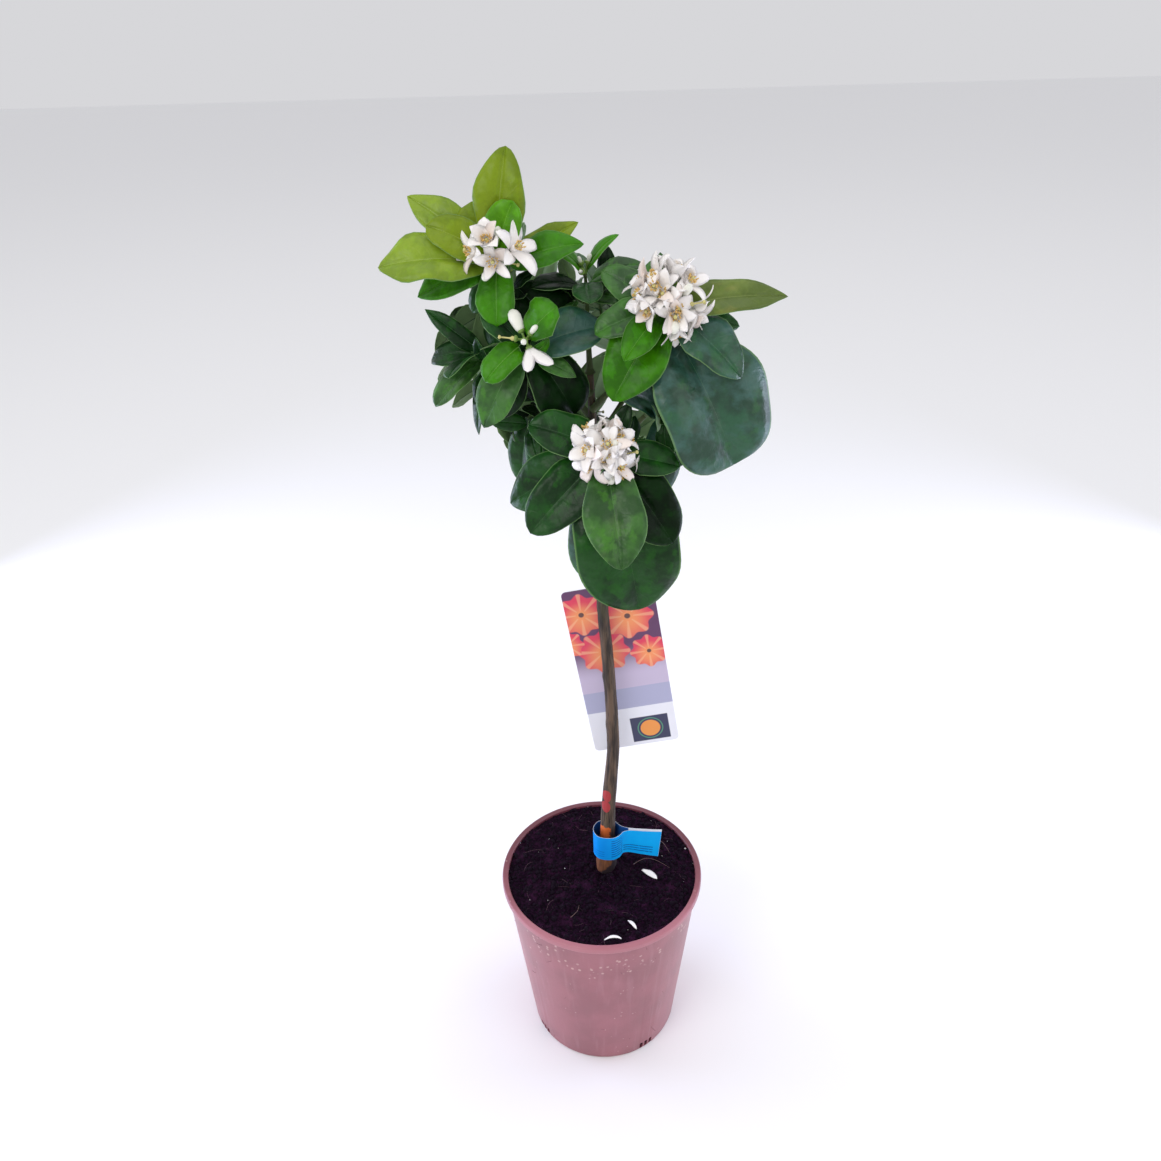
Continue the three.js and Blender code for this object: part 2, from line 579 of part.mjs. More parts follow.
// The card that hangs behind the stem, turned a little about its slot.
function cardSolid() {
  const { band, cardFace } = strapPlaces();
  const wide = card.width / 2;
  const low = card.holeDown - card.height;
  const round = card.corner;
  const outline = new THREE.Shape();
  outline.moveTo(-wide + round, low);
  outline.absarc(wide - round, low + round, round, -Math.PI / 2, 0, false);
  outline.absarc(wide - round, card.holeDown - round, round, 0, Math.PI / 2, false);
  outline.absarc(-wide + round, card.holeDown - round, round, Math.PI / 2, Math.PI, false);
  outline.absarc(-wide + round, low + round, round, Math.PI, 1.5 * Math.PI, false);
  const slot = new THREE.Path();
  slot.absellipse(0, 0, card.slot[0] / 2, card.slot[1] / 2, 0, 2 * Math.PI, true, 0);
  outline.holes.push(slot);
  const drawn = { depth: card.thick, bevelEnabled: false, curveSegments: 3 };
  const sheet = new THREE.ExtrudeGeometry(outline, drawn);
  sheet.rotateZ(radians(card.turn)).rotateX(Math.PI / 2);
  sheet.translate(band, cardFace + card.thick, card.hole);
  return solidFrom(sheet);
}

const tree = new THREE.Group();
tree.add(meshFrom("pot", potSolid(), clay));
tree.add(meshFrom("soil", soilSolid(), earth));
tree.add(meshFrom("trunk", limbSolid(trunkRings, trunk.sides), bark));

let taken = limbSolid(trunkRings, trunk.sides, GAP);
for (const mass of masses) {
  const rings = boughRings(mass);
  const whole = limbSolid(rings, bough.sides).subtract(taken);
  tree.add(meshFrom("bough_" + mass.name, fused([whole]), greenWood));
  taken = taken.add(limbSolid(rings, bough.sides, GAP));
}

for (const { mass, stem, shoots, blades } of grow()) {
  const solids = [limbSolid(stem, bough.sides), ...shoots.map(({ rings }) => limbSolid(rings, twig.sides))];
  solids.push(...shoots.filter(({ shoot }) => shoot.flowers > 0).map(({ shoot }) => trussSolid(shoot)));
  solids.push(...blades.map((blade) => ringSolid(leafRings(blade))));
  tree.add(meshFrom("foliage_" + mass.name, fused([wasm.Manifold.union(solids).subtract(taken)]), foliage));
}

tree.add(meshFrom("stem_tag", tagSolid(), bluePaper));
tree.add(meshFrom("card_strap", strapSolid(), whitePlastic));
tree.add(meshFrom("label_card", cardSolid(), printedCard));

export default tree;
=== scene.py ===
import math
import bpy
import numpy as np
from mathutils import Matrix, Vector, noise


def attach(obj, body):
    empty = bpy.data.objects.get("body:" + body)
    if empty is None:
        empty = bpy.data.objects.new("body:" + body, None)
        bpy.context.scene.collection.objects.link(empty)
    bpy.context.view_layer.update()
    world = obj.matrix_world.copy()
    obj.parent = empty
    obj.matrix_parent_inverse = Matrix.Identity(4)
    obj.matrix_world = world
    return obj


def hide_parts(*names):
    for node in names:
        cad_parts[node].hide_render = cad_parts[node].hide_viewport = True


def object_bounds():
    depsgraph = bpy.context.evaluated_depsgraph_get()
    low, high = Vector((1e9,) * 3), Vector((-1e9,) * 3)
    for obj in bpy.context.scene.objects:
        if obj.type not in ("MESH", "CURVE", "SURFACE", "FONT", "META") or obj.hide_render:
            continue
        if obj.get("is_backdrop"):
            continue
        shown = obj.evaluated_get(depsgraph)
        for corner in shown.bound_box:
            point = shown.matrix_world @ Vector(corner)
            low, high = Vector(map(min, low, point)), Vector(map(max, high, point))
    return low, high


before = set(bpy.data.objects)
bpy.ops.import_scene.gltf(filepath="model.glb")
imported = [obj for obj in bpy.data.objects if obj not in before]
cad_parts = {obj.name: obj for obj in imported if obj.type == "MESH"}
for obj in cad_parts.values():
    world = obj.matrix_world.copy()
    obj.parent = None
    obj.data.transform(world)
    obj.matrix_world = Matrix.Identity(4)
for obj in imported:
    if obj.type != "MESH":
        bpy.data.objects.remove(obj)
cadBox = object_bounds()

mm = 0.001
gap = 0.3
up = np.array([0.0, 0.0, 1.0])
golden = math.pi * (3 - math.sqrt(5))


# Small helpers

def paint(red, green, blue):
    # a screen colour, 0 to 255, as the linear colour that shaders take
    share = [channel / 255 for channel in (red, green, blue)]
    return tuple(c / 12.92 if c <= 0.04045 else ((c + 0.055) / 1.055) ** 2.4 for c in share) + (1.0,)


def paints(look):
    return {name: paint(*colour) for name, colour in look["colours"].items()}


def shade(colour, red, green=None, blue=None):
    # a colour with its channels multiplied
    factors = (red, green or red, blue or red)
    return tuple(min(1, c * f) for c, f in zip(colour, factors)) + (1.0,)


def mix(low, high, share):
    return low * (1 - share) + high * share


def vary(low, span, random):
    return low + span * random()


def unit(way):
    return way / np.linalg.norm(way)


def array(point):
    return np.array(point, float)


def smooth(low, high, value):
    share = np.clip((value - low) / (high - low), 0, 1)
    return share * share * (3 - 2 * share)


def dice(seed):
    # draws from 0 to 1 by the Park and Miller rule
    state = seed

    def throw():
        nonlocal state
        state = state * 16807 % 2147483647
        return state / 2147483647
    return throw


class Stock:
    # closed shells in millimetres, gathered for one joined piece

    def __init__(self):
        self.points, self.faces, self.slots, self.spots, self.count = [], [], [], [], 0

    def add(self, rings, slots=0, spots=None):
        # a tube through the rings, closed by a pole at each end; slots gives each strip round it a material
        rings = np.asarray(rings, float)
        steps, sides = rings.shape[:2]
        ids = np.arange(steps * sides).reshape(steps, sides)
        after = np.roll(ids, -1, axis=1)
        quads = np.stack([ids[:-1], after[:-1], after[1:], ids[1:]], -1)
        far = quads[:, sides // 2:]
        quads[:, sides // 2:] = np.roll(far, -1, axis=2)  # so both sides of a thin blade split the same way
        quads = quads.reshape(-1, 4)
        foot, tip = steps * sides, steps * sides + 1
        caps = [(after[0, j], ids[0, j], foot) for j in range(sides)]
        caps += [(ids[-1, j], after[-1, j], tip) for j in range(sides)]
        points = np.concatenate([rings.reshape(-1, 3), [rings[0].mean(0), rings[-1].mean(0)]])
        corner = points[quads]
        cone = np.cross(corner[:, 2] - corner[:, 0], corner[:, 3] - corner[:, 1])
        centres = np.repeat((rings[:-1].mean(1) + rings[1:].mean(1)) / 2, sides, axis=0)
        faces = quads.tolist() + [tuple(int(i) for i in cap) for cap in caps]
        if ((corner.mean(1) - centres) * cone).sum() < 0:
            faces = [face[::-1] for face in faces]
        self.faces += [[i + self.count for i in face] for face in faces]
        strips = np.broadcast_to(slots, (steps - 1, sides))
        self.slots += strips.reshape(-1).tolist() + [int(strips[0, 0])] * sides + [int(strips[-1, 0])] * sides
        if spots is None:
            spots = np.zeros((1, 1, 2))
        ends = [spots[0].mean(0), spots[-1].mean(0)]
        flat = spots.reshape(-1, 2) if spots.size > 2 else np.zeros((steps * sides, 2))
        self.points.append(points)
        self.spots.append(np.concatenate([flat, ends]))
        self.count += len(points)

    def build(self, name, materials, slot, replaces=()):
        mesh = bpy.data.meshes.new(name)
        mesh.from_pydata((np.concatenate(self.points) * mm).tolist(), [], self.faces)
        mesh.polygons.foreach_set("material_index", self.slots)
        mesh.polygons.foreach_set("use_smooth", [True] * len(self.faces))
        corners = np.zeros(len(mesh.loops), int)
        mesh.loops.foreach_get("vertex_index", corners)
        layer = mesh.uv_layers.new(name="along")
        layer.data.foreach_set("uv", np.concatenate(self.spots)[corners].astype(np.float32).ravel())
        for material in materials:
            mesh.materials.append(material)
        return settle(mesh, name, slot, replaces)


def linked(name, data):
    made = bpy.data.objects.new(name, data)
    bpy.context.scene.collection.objects.link(made)
    return made


def settle(mesh, name, slot, replaces=()):
    # hands a finished mesh over: the body that it rides on and the solids that it stands for
    mesh.name = name
    mesh.update()
    piece = linked(name, mesh)
    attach(piece, "root")
    if replaces:
        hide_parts(*replaces)
    mesh.calc_loop_triangles()
    print(f"{name}: {len(mesh.loop_triangles)} triangles")
    return piece


# Node trees

class Socket:
    # a node's output; sums on it add Math nodes

    def __init__(self, bench, link):
        self.bench, self.link = bench, link

    def maths(self, operation, one, other=0.0):
        return self.bench.node("ShaderNodeMath", {"operation": operation}, {0: one, 1: other})

    def __add__(self, other):
        return self.maths("ADD", self, other)

    def __radd__(self, other):
        return self.maths("ADD", other, self)

    def __sub__(self, other):
        return self.maths("SUBTRACT", self, other)

    def __rsub__(self, other):
        return self.maths("SUBTRACT", other, self)

    def __mul__(self, other):
        return self.maths("MULTIPLY", self, other)

    def __rmul__(self, other):
        return self.maths("MULTIPLY", other, self)

    def __truediv__(self, other):
        return self.maths("DIVIDE", self, other)

    def __pow__(self, other):
        return self.maths("POWER", self, other)

    def __gt__(self, other):
        return self.maths("GREATER_THAN", self, other)

    def __lt__(self, other):
        return self.maths("LESS_THAN", self, other)

    def __abs__(self):
        return self.maths("ABSOLUTE", self)


class Bench:
    # a node tree under construction

    def __init__(self, tree):
        self.tree = tree

    def node(self, kind, settings=None, sockets=None, out=0):
        made = self.tree.nodes.new(kind)
        for name, value in (settings or {}).items():
            setattr(made, name, value)
        for name, value in (sockets or {}).items():
            for item in value if isinstance(value, list) else [value]:
                if isinstance(item, Socket):
                    self.tree.links.new(item.link, made.inputs[name])
                else:
                    made.inputs[name].default_value = item
        return Socket(self, made.outputs[out])


class Shop(Bench):
    # one material

    def __init__(self, name):
        self.material = bpy.data.materials.new(name)
        self.material.use_nodes = True
        super().__init__(self.material.node_tree)
        self.tree.nodes.clear()
        self.place = self.node("ShaderNodeTexCoord", out="Object")

    def stretched(self, x, y, z):
        return self.node("ShaderNodeMapping", None, {"Vector": self.place, "Scale": (x, y, z)})

    def split(self, vector):
        made = self.node("ShaderNodeSeparateXYZ", None, {"Vector": vector}).link.node
        return [Socket(self, output) for output in made.outputs]

    def strip(self):
        # how far along and across a blade or a strip, each from 0 to 1
        return self.split(self.node("ShaderNodeUVMap", {"uv_map": "along"}))[:2]

    def grain(self, scale, detail=3.0, vector=None):
        # noise from 0 to 1; scale is in cycles a metre
        return self.node("ShaderNodeTexNoise", None, {
            "Vector": vector or self.place, "Scale": scale, "Detail": detail, "Roughness": 0.55})

    def between(self, value, low, high):
        # 0 below low, 1 above high
        return self.node("ShaderNodeMapRange", {"interpolation_type": "SMOOTHSTEP"}, {
            "Value": value, "From Min": low, "From Max": high})

    def window(self, value, low, high, soft):
        # 1 between low and high, with soft edges
        above = self.between(value, low - soft, low + soft)
        return above * (1 - self.between(value, high - soft, high + soft))

    def fraction(self, value):
        return self.node("ShaderNodeMath", {"operation": "FRACT"}, {0: value})

    def blend(self, share, one, other):
        return self.node("ShaderNodeMix", {"data_type": "RGBA"}, {0: share, 6: one, 7: other}, 2)

    def bump(self, height, distance, strength=1.0):
        return self.node("ShaderNodeBump", None, {
            "Height": height, "Distance": distance, "Strength": strength})

    def done(self, base, roughness, normal=None, **numbers):
        sockets = {"Base Color": base, "Roughness": roughness}
        if normal is not None:
            sockets["Normal"] = normal
        sockets.update({name.replace("_", " "): value for name, value in numbers.items()})
        surface = self.node("ShaderNodeBsdfPrincipled", None, sockets)
        end = self.tree.nodes.new("ShaderNodeOutputMaterial")
        self.tree.links.new(surface.link, end.inputs["Surface"])
        return self.material


def plainSkin(name, colour, roughness, scale=300, depth=0.0002, contrast=0.25, **numbers):
    # a colour with a little unevenness and a fine relief
    shop = Shop(name)
    base = shop.blend(shop.grain(scale * 0.25), shade(colour, 1 - contrast), shade(colour, 1 + contrast))
    return shop.done(base, roughness, shop.bump(shop.grain(scale), depth, 0.8), **numbers)


class Grove(Bench):
    # one tree of geometry nodes over a mesh, with named sizes

    def __init__(self, name, sizes):
        super().__init__(bpy.data.node_groups.new(name, "GeometryNodeTree"))
        face = self.tree.interface
        face.new_socket("Geometry", in_out="INPUT", socket_type="NodeSocketGeometry")
        self.values = {}
        for label, value in sizes.items():
            made = face.new_socket(label, in_out="INPUT", socket_type="NodeSocketFloat")
            self.values[made.identifier] = value
        face.new_socket("Geometry", in_out="OUTPUT", socket_type="NodeSocketGeometry")
        self.entry = self.tree.nodes.new("NodeGroupInput")

    def given(self, label):
        return Socket(self, self.entry.outputs[label])

    def draw(self, low, high, seed):
        sockets = {2: low, 3: high, "Seed": seed}
        return self.node("FunctionNodeRandomValue", {"data_type": "FLOAT"}, sockets, 1)

    def vector(self, x, y, z):
        return self.node("ShaderNodeCombineXYZ", None, {"X": x, "Y": y, "Z": z})

    def done(self, geometry, mesh, material):
        # the mesh that the tree makes of another mesh
        geometry = self.node("GeometryNodeRealizeInstances", None, {"Geometry": geometry})
        geometry = self.node("GeometryNodeSetMaterial", None, {"Geometry": geometry, "Material": material})
        end = self.tree.nodes.new("NodeGroupOutput")
        self.tree.links.new(geometry.link, end.inputs["Geometry"])
        holder = linked("holder", mesh)
        modifier = holder.modifiers.new("grove", "NODES")
        modifier.node_group = self.tree
        for identifier, value in self.values.items():
            modifier[identifier] = value
        whole = holder.evaluated_get(bpy.context.evaluated_depsgraph_get())
        made = bpy.data.meshes.new_from_object(whole)
        holder.modifiers.remove(modifier)
        bpy.data.objects.remove(holder)
        return made


# Camera, floor and light

view = {
    "lens": 30, "sensor": 36, "place": (-0.01225, -0.67577, 0.87768), "down": 29.18, "roll": -1.65,
    "clip": (0.01, 80),
}


def makeCamera():
    down, roll = math.radians(view["down"]), math.radians(view["roll"])
    ahead = Vector((0, math.cos(down), -math.sin(down)))
    level = Vector((1, 0, 0))
    above = level.cross(ahead)
    right = math.cos(roll) * level + math.sin(roll) * above
    top = -math.sin(roll) * level + math.cos(roll) * above
    data = bpy.data.cameras.new("camera")
    data.lens, data.sensor_width = view["lens"], view["sensor"]
    data.clip_start, data.clip_end = view["clip"]
    camera = linked("camera", data)
    turn = Matrix((right, top, -ahead)).transposed().to_4x4()
    camera.matrix_world = Matrix.Translation(view["place"]) @ turn
    bpy.context.scene.camera = camera


studio = {
    "floor": (247, 247, 248), "floorSize": 40.0, "world": (0.97, 0.97, 1.0), "worldStrength": 0.7,
    # each lamp: size, power, colour, place, and the point that it looks at
    "lamps": [
        (5.0, 60, (1, 1, 1), (0, 0.4, 6.0), (0, 0.3, 0)),
        (1.4, 21, (1, 0.99, 0.97), (-1.5, -1.7, 2.3), (0, 0, 0.55)),
        (1.4, 7, (0.96, 0.97, 1), (1.9, -1.3, 1.5), (0, 0, 0.4)),
        (0.9, 15, (0.66, 0.7, 1), (-1.3, 0.45, 0.4), (0, 0, 0.1)),
        (0.9, 11, (0.7, 0.74, 1), (1.3, 0.45, 0.4), (0, 0, 0.1)),
    ],
}


def makeStudio():
    size = studio["floorSize"] / 2
    corners = [(-size, -size, 0), (size, -size, 0), (size, size, 0), (-size, size, 0)]
    mesh = bpy.data.meshes.new("floor")
    mesh.from_pydata(corners, [], [(0, 1, 2, 3)])
    shop = Shop("paleFloor")
    mesh.materials.append(shop.done(paint(*studio["floor"]), 0.9))
    floor = linked("floor", mesh)
    floor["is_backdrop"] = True
    for number, (size, power, colour, place, target) in enumerate(studio["lamps"]):
        lamp = bpy.data.lights.new(f"softbox{number}", "AREA")
        lamp.shape, lamp.size, lamp.energy, lamp.color = "SQUARE", size, power, colour
        holder = linked(lamp.name, lamp)
        holder.location = place
        holder.rotation_euler = (Vector(target) - Vector(place)).to_track_quat("-Z", "Y").to_euler()
    world = bpy.data.worlds.new("studio")
    world.use_nodes = True
    sky = world.node_tree.nodes["Background"]
    sky.inputs["Color"].default_value = (*studio["world"], 1)
    sky.inputs["Strength"].default_value = studio["worldStrength"]
    bpy.context.scene.world = world
    bpy.context.scene.view_settings.view_transform = "Standard"


makeCamera()
makeStudio()
print("camera and studio made")


# The rule of the plant, in millimetres, as the solids have it

trunk = {
    "path": [
        (4.6, 2.5, 182.3), (5, 3, 191), (5.5, 3.6, 206), (6.4, 4.2, 224), (7.6, 5, 257), (11, 6, 300),
        (12.6, 6.5, 328), (11.5, 7, 372), (8.5, 8, 425), (5, 9, 475), (3.5, 9.5, 530), (1.5, 10, 590),
        (-1, 10, 668),
    ],
    "radius": [9.2, 10, 9.6, 7.2, 6.8, 6, 5.7, 5.5, 5.2, 4.8, 4.6, 4.2, 2.6],
    "steps": 22, "sides": 8,
}
bough = {"rootRadius": 2.5, "tipRadius": 1.7, "sag": 0.12, "steps": 6, "sides": 6}
twig = {"rootRadius": 1.6, "tipRadius": 1.1, "stem": 7, "steps": 3, "sides": 4, "join": 0.7, "bend": 0.45}
leaf = {
    "petiole": 0.13, "stalk": 1.6, "thickness": 0.013, "fold": 0.14, "widest": 0.55, "blunt": 0.54,
    "rings": (0.2, 0.5, 0.8), "turn": 135, "turnJitter": 9, "lowLean": 88, "tipLean": 58, "leanJitter": 8,
    "guard": 0.7, "lift": 0.5, "droop": (18, 50), "broad": (0.9, 0.2), "seed": 1000, "seedStep": 77,
    # where leaves sit along their shoot: the lowest of shown ones and of a spiral, the highest of both, and
    # the place near the tip that shown ones and own blooms take their clock angles from
    "shownFoot": 0.5, "foot": 0.35, "head": 0.97, "seenFrom": 0.98,
}
truss = {"base": 10, "perFlower": 1.7, "ahead": 7}

# Each mass: the height of its fork, its bough's tip, and its shoots. A shoot has its tip and aim, its
# flowers, the start and leaf width of its spiral, the lengths of its spiral leaves, and its shown leaves:
# clock angle, lean, length, width. tints holds a letter for each leaf in that order, shown ones first.
masses = [
    {"name": "upper_left", "fork": 652, "tip": (-38, -2, 706), "shoots": [
        {"tip": (-62, -12, 752), "aim": (-0.1, -0.92, 0.38), "flowers": 7, "tints": "neydbyeebebf",
         "shown": [
             (312, 118, 70, 46), (28, 107, 56, 22), (146, 97, 70, 28), (240, 112, 36, 20), (4, 104, 54, 27),
             (181, 91, 72, 41), (110, 95, 40, 34), (83, 80, 64, 34), (204, 81, 56, 30), (157, 83, 46, 30),
             (273, 86, 40, 27), (60, 72, 36, 28)
         ]},
        {"tip": (-70, 34, 722), "aim": (-0.5, 0.7, 0.5), "roll": 60, "wide": 0.58, "tints": "ndnddm",
         "leaves": (60, 58, 54, 50, 46, 42)},
    ]},
    {"name": "left", "fork": 622, "tip": (-42, -12, 664), "shoots": [
        {"tip": (-44, -42, 706), "aim": (0.05, -0.88, 0.42), "flowers": 3, "tints": "nsdnmbb",
         "shown": [
             (244, 136, 62, 26), (10, 107, 52, 38), (134, 100, 36, 24), (303, 120, 58, 42),
             (240, 112, 60, 28), (224, 91, 35, 23), (38, 62, 29, 28)
         ]},
        {"tip": (-80, -14, 690), "aim": (-0.7, -0.6, 0.3), "tints": "dddmdd",
         "shown": [
             (90, 100, 46, 26), (268, 109, 54, 16), (147, 56, 42, 15), (272, 58, 42, 30), (317, 40, 36, 22),
             (204, 42, 40, 28)
         ]},
        {"tip": (-78, 16, 664), "aim": (-0.9, 0.2, 0.1), "roll": 70, "wide": 0.52, "tints": "ndndd",
         "leaves": (48, 46, 42, 38, 34)},
    ]},
    {"name": "upper_middle", "fork": 667, "tip": (-2, 8, 700), "shoots": [
        {"tip": (-3, 4, 738), "aim": (-0.05, -0.5, 0.86), "flowers": 1, "tints": "mnmdbb",
         "shown": [
             (328, 98, 42, 26), (200, 96, 36, 26), (10, 92, 38, 22), (279, 83, 32, 22), (173, 50, 26, 18),
             (21, 48, 32, 16)
         ]},
        {"tip": (18, 24, 714), "aim": (0.1, -0.3, 0.95), "roll": 60, "wide": 0.55, "tints": "dndmm",
         "leaves": (44, 42, 38, 34, 30)},
    ]},
    {"name": "upper_right", "fork": 640, "tip": (34, -10, 690), "shoots": [
        {"tip": (49, -36, 724), "aim": (0.1, -0.88, 0.46), "flowers": 12, "tints": "mmdsmomsbb",
         "shown": [
             (90, 118, 38, 24), (141, 112, 48, 26), (346, 106, 50, 22), (293, 107, 106, 84), (90, 98, 34, 16),
             (0, 90, 74, 28), (197, 100, 46, 27), (312, 92, 62, 36), (236, 100, 63, 42), (222, 88, 45, 23)
         ]},
        {"tip": (62, 22, 698), "aim": (0.5, 0.6, 0.6), "roll": 100, "wide": 0.54, "tints": "ddmdmm",
         "leaves": (58, 56, 52, 46, 40, 34)},
    ]},
    {"name": "right", "fork": 606, "tip": (38, -4, 638), "shoots": [
        {"tip": (54, -22, 648), "aim": (0.5, -0.8, 0.2), "roll": 250, "wide": 0.52, "tints": "sdsdd",
         "leaves": (60, 58, 54, 50, 44)},
        {"tip": (76, 20, 662), "aim": (0.85, 0.3, 0.4), "roll": 40, "wide": 0.58, "tints": "ddsdmm",
         "leaves": (66, 62, 58, 52, 46, 42)},
    ]},
    {"name": "lower_front", "fork": 574, "tip": (8, -32, 606), "shoots": [
        {"tip": (7, -62, 634), "aim": (0, -0.93, 0.37), "flowers": 10, "tints": "dddddsdddndm",
         "shown": [
             (61, 97, 34, 17), (143, 106, 50, 26), (350, 114, 56, 22), (317, 112, 52, 28),
             (281, 106, 108, 78), (262, 107, 96, 52), (201, 109, 74, 40), (232, 104, 68, 40),
             (160, 90, 50, 32), (299, 100, 70, 42), (341, 97, 46, 26), (276, 92, 78, 44)
         ]},
    ]},
    {"name": "lower_left", "fork": 590, "tip": (-30, 4, 614), "shoots": [
        {"tip": (-46, -4, 640), "aim": (-0.45, -0.7, -0.1), "tints": "nnmdd",
         "shown": [
             (120, 95, 44, 26), (206, 100, 36, 22), (320, 95, 44, 24), (255, 95, 50, 26), (285, 90, 50, 16)
         ]},
    ]},
    {"name": "back_left", "fork": 632, "tip": (-30, 46, 670), "shoots": [
        {"tip": (-42, 80, 696), "aim": (-0.3, 0.8, 0.5), "flowers": 6, "roll": 280, "wide": 0.56,
         "tints": "ddsmmbb", "leaves": (70, 66, 62, 58, 52, 44, 36)},
        {"tip": (-80, 54, 676), "aim": (-0.8, 0.4, 0.3), "roll": 120, "wide": 0.56, "tints": "ddmmm",
         "leaves": (60, 58, 54, 48, 42)},
    ]},
    {"name": "back_right", "fork": 614, "tip": (34, 48, 650), "shoots": [
        {"tip": (42, 82, 670), "aim": (0.3, 0.8, 0.5), "flowers": 7, "roll": 250, "wide": 0.56,
         "tints": "sdmdmmb", "leaves": (72, 68, 64, 58, 50, 42, 36)},
        {"tip": (78, 56, 668), "aim": (0.75, 0.4, 0.5), "roll": 30, "wide": 0.56, "tints": "mdomm",
         "leaves": (60, 58, 54, 48, 42)},
    ]},
    {"name": "back_low", "fork": 562, "tip": (-2, 46, 596), "shoots": [
        {"tip": (-6, 80, 606), "aim": (-0.05, 0.9, 0.35), "flowers": 6, "roll": 285, "wide": 0.58,
         "tints": "sddddmm", "leaves": (80, 76, 72, 64, 56, 46, 38)},
        {"tip": (36, 62, 600), "aim": (0.7, 0.5, 0.2), "roll": 240, "wide": 0.54, "tints": "dmdm",
         "leaves": (62, 58, 54, 48)},
        {"tip": (-40, 48, 606), "aim": (-0.8, 0.3, 0.3), "roll": 100, "wide": 0.54, "tints": "ddmm",
         "leaves": (60, 56, 52, 46)},
    ]},
]
foliageNodes = ["foliage_" + mass["name"] for mass in masses]
boughNodes = ["bough_" + mass["name"] for mass in masses]


def curveThrough(points):
    # a uniform Catmull-Rom curve with its two ends carried on straight
    spots = [array(p) for p in points]
    spots = [2 * spots[0] - spots[1], *spots, 2 * spots[-1] - spots[-2]]
    spans = len(points) - 1

    def path(t):
        span = min(int(t * spans), spans - 1)
        s = t * spans - span
        before, one, two, after = spots[span:span + 4]
        left, right = (two - before) / 2, (after - one) / 2
        return (one + left * s + (3 * (two - one) - 2 * left - right) * s ** 2
                + (2 * (one - two) + left + right) * s ** 3)
    return path


def bow(start, bend, end):
    return lambda t: (1 - t) ** 2 * start + 2 * (1 - t) * t * bend + t * t * end


def limbRings(path, radiusAt, steps):
    ends = path(1) - path(0)
    aside = np.array([0.0, 1, 0]) if abs(ends[2]) > 0.75 * np.linalg.norm(ends) else up
    rings = []
    for i in range(steps + 1):
        t = i / steps
        along = unit(path(min(1, t + 0.01)) - path(max(0, t - 0.01)))
        side = unit(np.cross(along, aside))
        rings.append((path(t), side, np.cross(side, along), radiusAt(t)))
    return rings


def circles(rings, sides, extra=0.0):
    angle = 2 * math.pi * np.arange(sides)[:, None] / sides
    return np.array([centre + (radius + extra) * (side * np.sin(angle) + over * np.cos(angle))
                     for centre, side, over, radius in rings])


trunkPath = curveThrough(trunk["path"])


def trunkRadius(t):
    place = min(t, 0.99999) * (len(trunk["radius"]) - 1)
    low = int(place)
    return mix(trunk["radius"][low], trunk["radius"][low + 1], place - low)


def trunkAt(height):
    low, high = 0.0, 1.0
    for _ in range(30):
        middle = (low + high) / 2
        if trunkPath(middle)[2] < height:
            low = middle
        else:
            high = middle
    return low


def trunkRings(steps):
    rings = limbRings(trunkPath, trunkRadius, steps)
    centre, _, _, radius = rings[0]
    rings[0] = (centre, np.array([-1.0, 0, 0]), np.array([0, 1.0, 0]), radius)
    return rings


def boughPath(mass):
    start, end = trunkPath(trunkAt(mass["fork"])), array(mass["tip"])
    bend = (start + end) / 2 - up * bough["sag"] * np.linalg.norm(end - start)
    return bow(start, bend, end)


def boughRadius(t):
    return mix(bough["rootRadius"], bough["tipRadius"], t)


def stemPath(mass):
    path = boughPath(mass)
    way = unit(path(1) - path(0.99))
    start = array(mass["tip"]) + way * gap
    return lambda t: start + way * twig["stem"] * t


def shootPath(mass, shoot):
    start, end = stemPath(mass)(twig["join"]), array(shoot["tip"])
    aim = unit(array(shoot["aim"]))
    return bow(start, end - aim * twig["bend"] * np.linalg.norm(end - start), end)


def twigRadius(t):
    return mix(twig["rootRadius"], twig["tipRadius"], t)


def outline(t, widest=leaf["widest"], blunt=leaf["blunt"]):
    # a blade's half width at a share of its length, as a share of its greatest half width
    top = widest / (widest + blunt)
    return (t / top) ** widest * ((1 - t) / (1 - top)) ** blunt


def midrib(blade, t):
    stalk = blade["root"] + blade["way"] * blade["length"] * leaf["petiole"]
    angle, reach = blade["droop"] * t, blade["length"] / blade["droop"]
    centre = stalk + blade["way"] * reach * math.sin(angle) - blade["face"] * reach * (1 - math.cos(angle))
    return centre, blade["face"] * math.cos(angle) + blade["way"] * math.sin(angle)


def guardRings(blade, extra):
    across = np.cross(blade["face"], blade["way"])

    def ring(centre, face, half, rise, thick):
        return [centre + across * (half + extra) + face * rise, centre + face * (thick / 2 + extra),
                centre - across * (half + extra) + face * rise, centre - face * (thick / 2 + extra)]
    stalk = leaf["stalk"]
    rings = [ring(blade["root"], blade["face"], stalk / 2, 0, stalk),
             ring(midrib(blade, 0)[0], blade["face"], stalk / 2, 0, stalk * 0.7)]
    for t in leaf["rings"]:
        half = blade["width"] / 2 * outline(t)
        rings.append(ring(*midrib(blade, t), half, half * leaf["fold"], blade["length"] * leaf["thickness"]))
    rings.append(ring(*midrib(blade, 1), 0, 0, 0))
    return np.array(rings)


def guardOf(rings):
    # the edges and triangles that stand for a tube of rings when pieces are tested against each other
    after = np.roll(rings, -1, axis=1)
    edges = [np.stack(pair, 2).reshape(-1, 2, 3) for pair in ([rings, after], [rings[:-1], rings[1:]])]
    triangles = [np.stack([rings[:-1], after[:-1], after[1:]], 2).reshape(-1, 3, 3),
                 np.stack([rings[:-1], after[1:], rings[1:]], 2).reshape(-1, 3, 3)]
    flat = rings.reshape(-1, 3)
    return np.concatenate(edges), np.concatenate(triangles), flat.min(0), flat.max(0)


